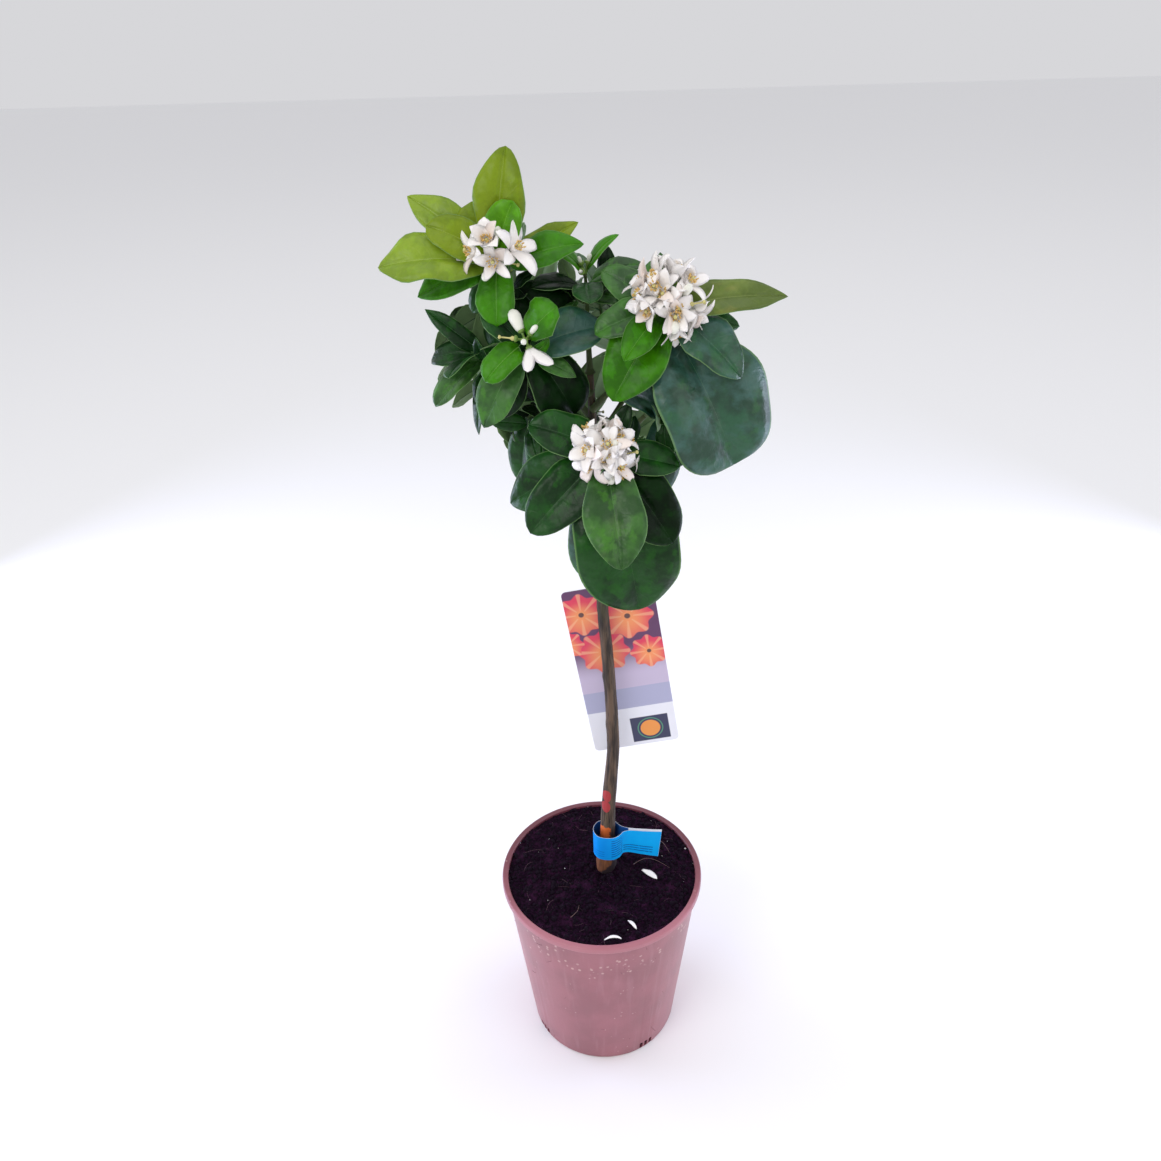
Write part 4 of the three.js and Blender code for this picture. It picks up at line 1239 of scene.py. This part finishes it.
def barkSkin():
    shop, tones = Shop("bark"), paints(barkLook)
    streaks = shop.grain(260, 4, shop.stretched(1, 1, 0.09))
    patches = shop.grain(45, 3, shop.stretched(1, 1, 0.4))
    wobble = shop.grain(260, 2) * 0.008 - 0.004
    x, y, z = shop.split(shop.place)
    fissures = shop.grain(900, 3, shop.stretched(1, 1, 0.06))
    base = shop.blend(shop.between(streaks, 0.34, 0.66), tones["hollow"], tones["ridge"])
    base = shop.blend(shop.between(patches, 0.5, 0.72) * 0.4, base, tones["lichen"])
    base = shop.blend(shop.between(fissures, 0.54, 0.68) * 0.8, base, tones["fissure"])
    stub = 1 - shop.between(z + wobble, *barkLook["stub"])
    wood = shop.blend(shop.between(streaks, 0.3, 0.7), tones["stubHollow"], tones["stubRidge"])
    base = shop.blend(stub, base, wood)
    crust = shop.between(x * 1.05 - z + wobble * 0.8, *barkLook["crust"])
    base = shop.blend(crust * stub, base, shop.blend(streaks, tones["soilDark"], tones["soilPale"]))
    orange = shop.window(z + wobble, *barkLook["band"], 0.001)
    orange = orange * (1 - shop.between(x + wobble, *barkLook["bandEnd"]))
    sprayed = shop.blend(streaks, tones["sprayDark"], tones["sprayPale"])
    base = shop.blend(orange * (y < 0.004), base, sprayed)
    for across, level, wide, tall in barkLook["dabs"]:
        far = ((x - across) / wide) ** 2 + ((z - level) / tall) ** 2 + wobble * 60
        base = shop.blend((1 - shop.between(far, 0.9, 1.1)) * (y < 0.004), base, tones["dab"])
    return shop.done(base, 0.75, shop.bump(streaks, 0.0012, 0.9))


makeBark()


# Pot

potShape = {
    "height": 183, "top": 91.5, "foot": 71.5, "wall": 2, "floor": 2.5, "lip": 95, "lipHeight": 6,
    "lipInner": 89.5, "sides": 144,
}
potLook = {  # in metres, heights and depths: the painted shade at the back rim, the specks, and the painted light on the front rim
    "backRimShade": (0.1765, 0.1815), "backRimShadeDepth": (-0.05, 0.04), "specks": (0.136, 0.175),
    "frontLipLight": (0.176, 0.1775), "frontLipLightDepth": (-0.07, -0.02),
    "colours": {
        "dull": (140, 75, 87), "clear": (158, 90, 102), "streak": (186, 134, 144), "backRimShade": (92, 36, 48),
        "speck": (212, 180, 172), "frontLipLight": (183, 116, 128),
    },
}
drain = {
    "groups": 4, "slots": 3, "sizes": {"width": 0.0034, "height": 0.009, "depth": 0.01, "rise": 0.0008},
    "pitch": 5.4, "start": 33,
}


def filleted(points, radii, steps=4):
    # rounds the corners of an open profile
    made = [array(points[0])]
    for before, corner, after, radius in zip(points, points[1:], points[2:], radii[1:]):
        before, corner, after = array(before), array(corner), array(after)
        one, two = corner + unit(before - corner) * radius, corner + unit(after - corner) * radius
        made += [bow(one, corner, two)(i / steps) for i in range(steps + 1)]
    return made + [array(points[-1])]


def lathe(profile, sides):
    # a closed shell of revolution from a profile that starts and ends on the axis
    angle = 2 * math.pi * np.arange(sides) / sides
    return np.array([np.stack([radius * np.cos(angle), radius * np.sin(angle), np.full(sides, height)], 1)
                     for radius, height in profile])


def makePot():
    shape = potShape
    wallTop = shape["height"] - shape["lipHeight"]
    profile = filleted(
        [(0.01, 0), (shape["foot"], 0), (shape["top"], wallTop), (shape["lip"], wallTop),
         (shape["lip"], shape["height"]), (shape["lipInner"], shape["height"]),
         (shape["foot"] - shape["wall"], shape["floor"]), (0.01, shape["floor"])],
        [0, 2.5, 0.8, 1.2, 1.6, 1.2, 1.5])
    stock = Stock()
    stock.add(lathe(profile, shape["sides"]))
    solid = bpy.data.meshes.new("solid")
    solid.from_pydata((np.concatenate(stock.points) * mm).tolist(), [], stock.faces)
    skin = potSkin()
    grove = Grove("drainSlots", drain["sizes"])
    rise, height = grove.given("rise"), grove.given("height")
    box = grove.node("GeometryNodeMeshCube", None, {
        "Size": grove.vector(grove.given("depth"), grove.given("width"), height)})
    cuts = []
    for group in range(drain["groups"]):
        for i in range(drain["slots"]):
            step = (i - (drain["slots"] - 1) / 2) * drain["pitch"] / shape["foot"]
            angle = math.radians(drain["start"] - 90 + 360 * group / drain["groups"]) + step
            x, y = shape["foot"] * mm * math.cos(angle), shape["foot"] * mm * math.sin(angle)
            cuts.append(grove.node("GeometryNodeTransform", None, {
                "Geometry": box, "Translation": grove.vector(x, y, rise + height * 0.5),
                "Rotation": (0, 0, angle)}))
    cut = grove.node("GeometryNodeMeshBoolean", {"operation": "DIFFERENCE", "solver": "EXACT"}, {
        "Mesh 1": Socket(grove, grove.entry.outputs["Geometry"]), "Mesh 2": cuts})
    mesh = grove.done(cut, solid, skin)
    mesh.polygons.foreach_set("use_smooth", [True] * len(mesh.polygons))
    mesh.set_sharp_from_angle(angle=math.radians(40))
    settle(mesh, "pot_wall", "pot_plastic", ["pot"])


def potSkin():
    shop, tones = Shop("clayPlastic"), paints(potLook)
    clouds = shop.grain(26, 4)
    base = shop.blend(shop.between(clouds, 0.3, 0.7), tones["dull"], tones["clear"])
    dots = shop.node("ShaderNodeTexVoronoi", {"feature": "F1"}, {"Vector": shop.place, "Scale": 175.0})
    streaks = shop.grain(160, 2, shop.stretched(1, 1, 0.04))
    base = shop.blend(shop.between(streaks, 0.5, 0.75) * 0.2, base, tones["streak"])
    _, depth, level = shop.split(shop.place)
    # painted shade: the back of the rim, its top and inner side, darkened
    backRimShade = shop.between(level, *potLook["backRimShade"]) * shop.between(depth, *potLook["backRimShadeDepth"])
    base = shop.blend(backRimShade * (0.55 + clouds * 0.4), base, tones["backRimShade"])
    band = shop.window(level, *potLook["specks"], 0.01)
    reach = 0.15 + 0.17 * band
    clumps = shop.between(shop.grain(45, 2) + band * 0.04, 0.54, 0.6)
    speck = (1 - shop.between(dots, reach * 0.5, reach)) * clumps
    base = shop.blend(speck * 0.65, base, tones["speck"])
    # painted light: a lighter band along the front of the lip
    frontLipLight = shop.between(level, *potLook["frontLipLight"]) * (1 - shop.between(depth, *potLook["frontLipLightDepth"]))
    base = shop.blend(frontLipLight * 0.8, base, tones["frontLipLight"])
    relief = shop.grain(1500, 2) * 0.3 + shop.grain(60, 2, shop.stretched(1, 1, 0.05))
    normal = shop.bump(relief, 0.0004, 0.6)
    return shop.done(base, 0.34 + clouds * 0.14, normal, Coat_Weight=0.3, Coat_Roughness=0.3)


makePot()


# Soil

soilShape = {
    "top": 182, "edgeDrop": 1.4, "crown": 50, "rings": 80, "sides": 160, "crowding": 0.85,
    "lump": 1.5, "rimCalm": 0.6,
    "waves": ((0.8, 0.05), (1.1, 0.14), (0.7, 0.3), (0.4, 0.9)),  # size and rate of each layer of lumps
    "floor": 0.177,  # no bits are strewn below this height, in metres
    "heaps": [(15, -3, 2.6, 9), (8, 12, 2, 9)],  # middle, height and reach of the heaps round the stub
    "colours": {"hollow": (5, 0, 7), "crumb": (40, 11, 38), "clod": (60, 25, 55)},
}


def soilHeight(x, y):
    spot = Vector((x, y, 3.0))
    lumps = sum(size * noise.noise(spot * rate) for size, rate in soilShape["waves"])
    for across, deep, size, reach in soilShape["heaps"]:
        lumps += size * math.exp(-((x - across) ** 2 + (y - deep) ** 2) / reach ** 2)
    return lumps


def makeSoil():
    shape = soilShape
    inside = potShape["foot"] - potShape["wall"]
    deep = potShape["height"] - potShape["floor"]
    rimLevel = shape["top"] - shape["edgeDrop"] - potShape["floor"]
    edge = mix(inside, potShape["lipInner"], rimLevel / deep) - gap
    angle = 2 * math.pi * np.arange(shape["sides"]) / shape["sides"]
    rings = []
    for i in range(1, shape["rings"] + 1):
        radius = edge * (i / shape["rings"]) ** shape["crowding"]
        level = shape["top"] - shape["edgeDrop"] * float(smooth(shape["crown"], edge, radius))
        lump = shape["lump"] * (1 - shape["rimCalm"] * (i == shape["rings"]))
        rings.append([(x, y, level + lump * soilHeight(x, y))
                      for x, y in zip(radius * np.cos(angle), radius * np.sin(angle))])
    low = mix(inside, potShape["lipInner"], gap / deep) - gap
    rings.append([(low * math.cos(a), low * math.sin(a), potShape["floor"] + gap) for a in angle])
    stock = Stock()
    stock.add(np.array(rings))
    return stock.build("compost", [soilSkin()], "potting_soil", ["soil"]).data


def soilSkin():
    shop, tones = Shop("compost"), paints(soilShape)
    crumbs = shop.grain(420, 5)
    base = shop.blend(shop.between(crumbs, 0.35, 0.75), tones["hollow"], tones["crumb"])
    clods = shop.between(shop.grain(75, 4), 0.48, 0.66)
    base = shop.blend(clods * crumbs, base, tones["clod"])
    return shop.done(base, 0.95, shop.bump(crumbs + clods, 0.002, 1.0), Specular_IOR_Level=0.1)


# Bits strewn on the soil. Each kind: sizes for its nodes, seed, colour and slot.
strewn = {
    "crumbs": ({"density": 90000, "small": 0.0004, "big": 0.0026}, 11, (19, 6, 21), "potting_soil"),
    "perlite": ({"density": 800, "small": 0.0004, "big": 0.0014}, 12, (214, 210, 206), "potting_soil"),
    "fibres": ({"density": 5000, "small": 0.3, "big": 1.5}, 13, (104, 78, 88), "potting_soil"),
}
fibre = {  # in metres; one shape for each bend, and how far it may tilt out of the level
    "radius": 0.00011, "start": (-0.006, 0, 0), "end": (0.005, 0.001, 0), "bends": (0.001, 0.004, -0.002),
    "tilt": 0.3,
}


def strew(name, soil):
    sizes, seed, colour, slot = strewn[name]
    grove = Grove(name, sizes)
    ground = Socket(grove, grove.entry.outputs["Geometry"])
    height = grove.node("GeometryNodeInputPosition")
    level = grove.node("ShaderNodeSeparateXYZ", None, {"Vector": height}, 2)
    points = grove.node("GeometryNodeDistributePointsOnFaces", None, {
        "Mesh": ground, "Selection": level > soilShape["floor"], "Density": grove.given("density"),
        "Seed": seed})
    if name == "fibres":
        rod = grove.node("GeometryNodeCurvePrimitiveCircle", None, {
            "Resolution": 3, "Radius": fibre["radius"]})
        shapes = [grove.node("GeometryNodeCurveToMesh", None, {
            "Curve": grove.node("GeometryNodeCurveQuadraticBezier", None, {
                "Resolution": 6, "Start": fibre["start"], "Middle": (0.001, bend, 0.001),
                "End": fibre["end"]}),
            "Profile Curve": rod}) for bend in fibre["bends"]]
        shape = grove.node("GeometryNodeGeometryToInstance", None, {"Geometry": shapes})
        tilts = [grove.draw(-fibre["tilt"], fibre["tilt"], seed) for seed in (3, 4)]
        turn = grove.vector(*tilts, grove.draw(0, 6.28, 5))
        pick = {"Pick Instance": True, "Instance Index": grove.node(
            "FunctionNodeRandomValue", {"data_type": "INT"}, {4: 0, 5: 2, "Seed": 6}, 2)}
    else:
        shape = grove.node("GeometryNodeMeshIcoSphere", None, {"Radius": 1.0, "Subdivisions": 1})
        turn = grove.vector(*[grove.draw(0, 6.28, 5 + k) for k in range(3)])
        pick = {}
    small, big = grove.given("small"), grove.given("big")
    size = small + (big - small) * grove.draw(0, 1, 9) ** 3
    spread = grove.node("GeometryNodeInstanceOnPoints", None, {
        "Points": points, "Instance": shape, "Rotation": turn, "Scale": size, **pick})
    skin = plainSkin(name, paint(*colour), 0.9, 900, 0.0003, 0.5, Specular_IOR_Level=0.15)
    mesh = grove.done(spread, soil, skin)
    settle(mesh, name, slot)


compost = makeSoil()
for kind in strewn:
    strew(kind, compost)

rootHairs = {  # long pale roots that lie on the soil, as the points that each passes through
    "paths": [
        [(30.9, 4.4, 183), (37.5, 8.1, 184.4), (45.3, 9.8, 185), (54.7, 6.1, 184.6), (65.1, -1.4, 183)],
        [(59.1, 35.3, 182.6), (62.5, 29.1, 184.2), (67, 18.7, 183)],
        [(-30, -58, 182.8), (-24, -52, 184), (-22, -44, 183)],
    ],
    "radius": 0.26, "steps": 16, "sides": 5, "colour": (126, 100, 96),
}


def makeRootHairs():
    stock = Stock()
    for points in rootHairs["paths"]:
        path = curveThrough(points)
        rings = limbRings(path, lambda t: rootHairs["radius"] * (1 - 0.6 * t), rootHairs["steps"])
        stock.add(circles(rings, rootHairs["sides"]))
    skin = plainSkin("rootHair", paint(*rootHairs["colour"]), 0.8)
    stock.build("root_hairs", [skin], "potting_soil")


makeRootHairs()


# Labels

tagShape = {
    "low": 203.5, "half": 0.16, "loop": 12.5, "hug": 0.8, "flag": 38.5, "forward": 8, "slant": 3,
    "samples": 110,
    # how far the strip's back end shows past its front one, the share of that below, and where it begins
    "peek": 1.7, "dip": 0.3, "peekFrom": (0.6, 0.8),
    "inner": (0.19, 0.81),  # between these parts of the path the inner side is darker
    # heights of the lower and the upper edge over low, at places across
    "places": (-12, 6, 16, 51), "lower": (1.4, 1.5, 3.2, -0.2), "upper": (28.8, 29, 29.8, 30.6),
    # the strip seen from above, about the loop's middle, from the front end of the flag round to its back end
    "path": [
        (50.9, 0.2), (43, -0.7), (33, -1.5), (22, -2.2), (15.4, -4.8), (12.4, -9), (7, -12.3), (-1, -12.5),
        (-8.4, -9.6), (-12.2, -2.5), (-11.6, 4.4), (-7, 10.2), (0.4, 12.2), (7, 9.8), (10.8, 5),
        (13.6, 1.2), (19, -0.7), (28, -0.8), (37, -0.2), (45, 0.4), (51.3, 1.2),
    ],
    # blocks of printed rows: from and to across the strip, from and to along it, soft ends, and how dark
    "print": [
        (0.1, 0.86, 0.215, 0.32, 0.004, 1), (0.1, 0.38, 0.04, 0.2, 0.002, 1),
        (0.1, 0.4, 0.36, 0.45, 0.004, 0.45),
    ],
    "colours": {
        "deep": (0, 158, 246), "clear": (0, 184, 255), "shaded": (0, 124, 226), "ink": (2, 44, 150),
        "edge": (226, 230, 240), "inner": (20, 84, 160),
    },
}


def makeTag():
    shape = tagShape
    at = trunkAt(shape["low"])
    centre = trunkPath(at) - array((0, shape["loop"] - shape["hug"] - trunkRadius(at) - gap, 0))
    lean = [max(0, x - shape["loop"]) / shape["flag"] * shape["forward"] for x, _ in shape["path"]]
    path = curveThrough([(x, y - forward, 0) for (x, y), forward in zip(shape["path"], lean)])
    rings, spots, strips = [], [], []
    for i in range(shape["samples"] + 1):
        t = i / shape["samples"]
        along = unit(path(min(1, t + 0.005)) - path(max(0, t - 0.005)))
        out = np.cross(up, along)
        place = path(t)
        share = max(0, (place[0] - shape["loop"]) / shape["flag"])
        back = shape["peek"] * smooth(*shape["peekFrom"], t)
        low = np.interp(place[0], shape["places"], shape["lower"]) - shape["dip"] * back
        high = np.interp(place[0], shape["places"], shape["upper"]) + back
        spot = centre + place + up * (shape["low"] - centre[2])
        slant = array((shape["slant"] * share, 0, 0))
        rings.append([spot + out * h * shape["half"] + up * z - slant * (z == low)
                      for h, z in ((1, low), (1, high), (-1, high), (-1, low))])
        spots.append([(t, 0), (t, 1), (t, 1), (t, 0)])
        start, end = shape["inner"]
        strips.append([0, 1, 2 if start < t < end else 1, 1])
    stock = Stock()
    stock.add(np.array(rings), np.array(strips[1:]), np.array(spots, float))
    tones = paints(shape)
    white = plainSkin("tagWhite", tones["edge"], 0.6, 500, 0.0002, 0.03)
    inside = plainSkin("tagInside", tones["inner"], 0.55, 500, 0.0002, 0.08)
    piece = stock.build("tag_strip", [tagSkin(), white, inside], "blue_tag", ["stem_tag"])
    piece.data.set_sharp_from_angle(angle=math.radians(40))


def tagSkin():
    shop, tones = Shop("bluePaper"), paints(tagShape)
    along, across = shop.strip()
    base = shop.blend(shop.grain(90), tones["deep"], tones["clear"])
    base = shop.blend(shop.window(along, 0.3, 0.62, 0.07) * 0.6, base, tones["shaded"])
    row = abs(shop.fraction(across * 10) - 0.5) < 0.19
    dash = shop.grain(900, 0, shop.stretched(1, 1, 0.9)) > 0.3
    printed = sum(row * shop.window(across, low, high, 0.004) * shop.window(along, start, end, soft) * dark
                  for low, high, start, end, soft, dark in tagShape["print"])
    base = shop.blend(printed * dash * 0.8, base, tones["ink"])
    return shop.done(base, 0.5, shop.bump(shop.grain(300), 0.0002, 0.5), Specular_IOR_Level=0.25)


makeTag()

cardShape = {
    "hole": (5.7, 474), "turn": 9,
    # heights from the hole: the ground's fade and the band's top and foot; the tile, its spot and its ring
    "fade": (-84, -50), "band": -97.25, "pale": -119.25, "tile": (2, 36), "tileUp": (-158, -131),
    "spot": (19, -144.5), "spotRadius": (8.6, 9.2), "ring": (10.6, 11.6),
    # each rosette: middle across and down from the hole, reach, petals, roll
    "rosettes": [
        (-21, -16, 21, 8, 0.2), (17, -24, 23, 8, 0.5), (-8, -56, 23, 8, 0.9), (30, -62, 17, 8, 0.0),
        (-38, -44, 15, 8, 0.6), (38, -4, 13, 8, 0.3),
    ],
    "colours": {
        "ground": (92, 42, 92), "lavender": (200, 186, 214), "inner": (250, 152, 92), "outer": (228, 44, 84),
        "ray": (255, 196, 150), "eye": (96, 58, 52), "band": (174, 174, 206), "pale": (238, 238, 248),
        "tile": (30, 34, 78), "spot": (240, 150, 60), "ring": (70, 140, 110), "back": (236, 236, 242),
        "strap": (232, 232, 236),
    },
}


def cardSkin():
    # rosettes over a dark ground that fades to lavender, a plain band, and a pale foot with a small tile
    shop, tones = Shop("cardPrint"), paints(cardShape)
    x, _, z = shop.split(shop.place)
    turn = math.radians(cardShape["turn"])
    across, down = x * 1000 - cardShape["hole"][0], z * 1000 - cardShape["hole"][1]
    u = across * math.cos(turn) + down * math.sin(turn)
    v = down * math.cos(turn) - across * math.sin(turn)
    base = shop.blend(shop.between(v, *cardShape["fade"]), tones["lavender"], tones["ground"])
    for cx, cy, reach, petals, roll in cardShape["rosettes"]:
        du, dv = u - cx, v - cy
        far = (du * du + dv * dv) ** 0.5 / reach
        angle = shop.node("ShaderNodeMath", {"operation": "ARCTAN2"}, {0: dv, 1: du}) * petals + roll
        wave = shop.node("ShaderNodeMath", {"operation": "COSINE"}, {0: angle})
        rim = 0.9 + wave * 0.08
        flush = shop.between(far + dv / reach * 0.35, 0.1, 0.95)
        fill = shop.blend(flush, tones["inner"], tones["outer"])
        fill = shop.blend(shop.between(wave * (far > 0.22), 0.55, 0.95) * 0.5, fill, tones["ray"])
        base = shop.blend(1 - shop.between(far - rim, -0.03, 0.03), base, fill)
        base = shop.blend(1 - shop.between(far, 0.09, 0.13), base, tones["eye"])
    for edge in ("band", "pale"):
        level = cardShape[edge]
        base = shop.blend(1 - shop.between(v, level - 0.25, level + 0.25), base, tones[edge])
    tile = shop.window(u, *cardShape["tile"], 0.3) * shop.window(v, *cardShape["tileUp"], 0.3)
    base = shop.blend(tile, base, tones["tile"])
    du, dv = u - cardShape["spot"][0], v - cardShape["spot"][1]
    far = (du * du + dv * dv) ** 0.5
    base = shop.blend(tile * (1 - shop.between(far, *cardShape["spotRadius"])), base, tones["spot"])
    base = shop.blend(tile * shop.window(far, *cardShape["ring"], 0.2), base, tones["ring"])
    front = shop.split(shop.node("ShaderNodeNewGeometry", out=1))[1] < 0
    base = shop.blend(front, tones["back"], base)
    return shop.done(base, 0.3, shop.bump(shop.grain(60), 0.0004, 0.3), Coat_Weight=0.4, Coat_Roughness=0.15)


def dressLabels():
    plastic = plainSkin("strapPlastic", paints(cardShape)["strap"], 0.4, 500, 0.0002, 0.03)
    dressed = (("card_strap", plastic, "strap_plastic"), ("label_card", cardSkin(), "printed_card"))
    for node, material, slot in dressed:
        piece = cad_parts[node]
        piece.data.materials.clear()
        piece.data.materials.append(material)


dressLabels()

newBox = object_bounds()
sizes = {label: [list(corner) for corner in box] for label, box in (("cad", cadBox), ("visual", newBox))}
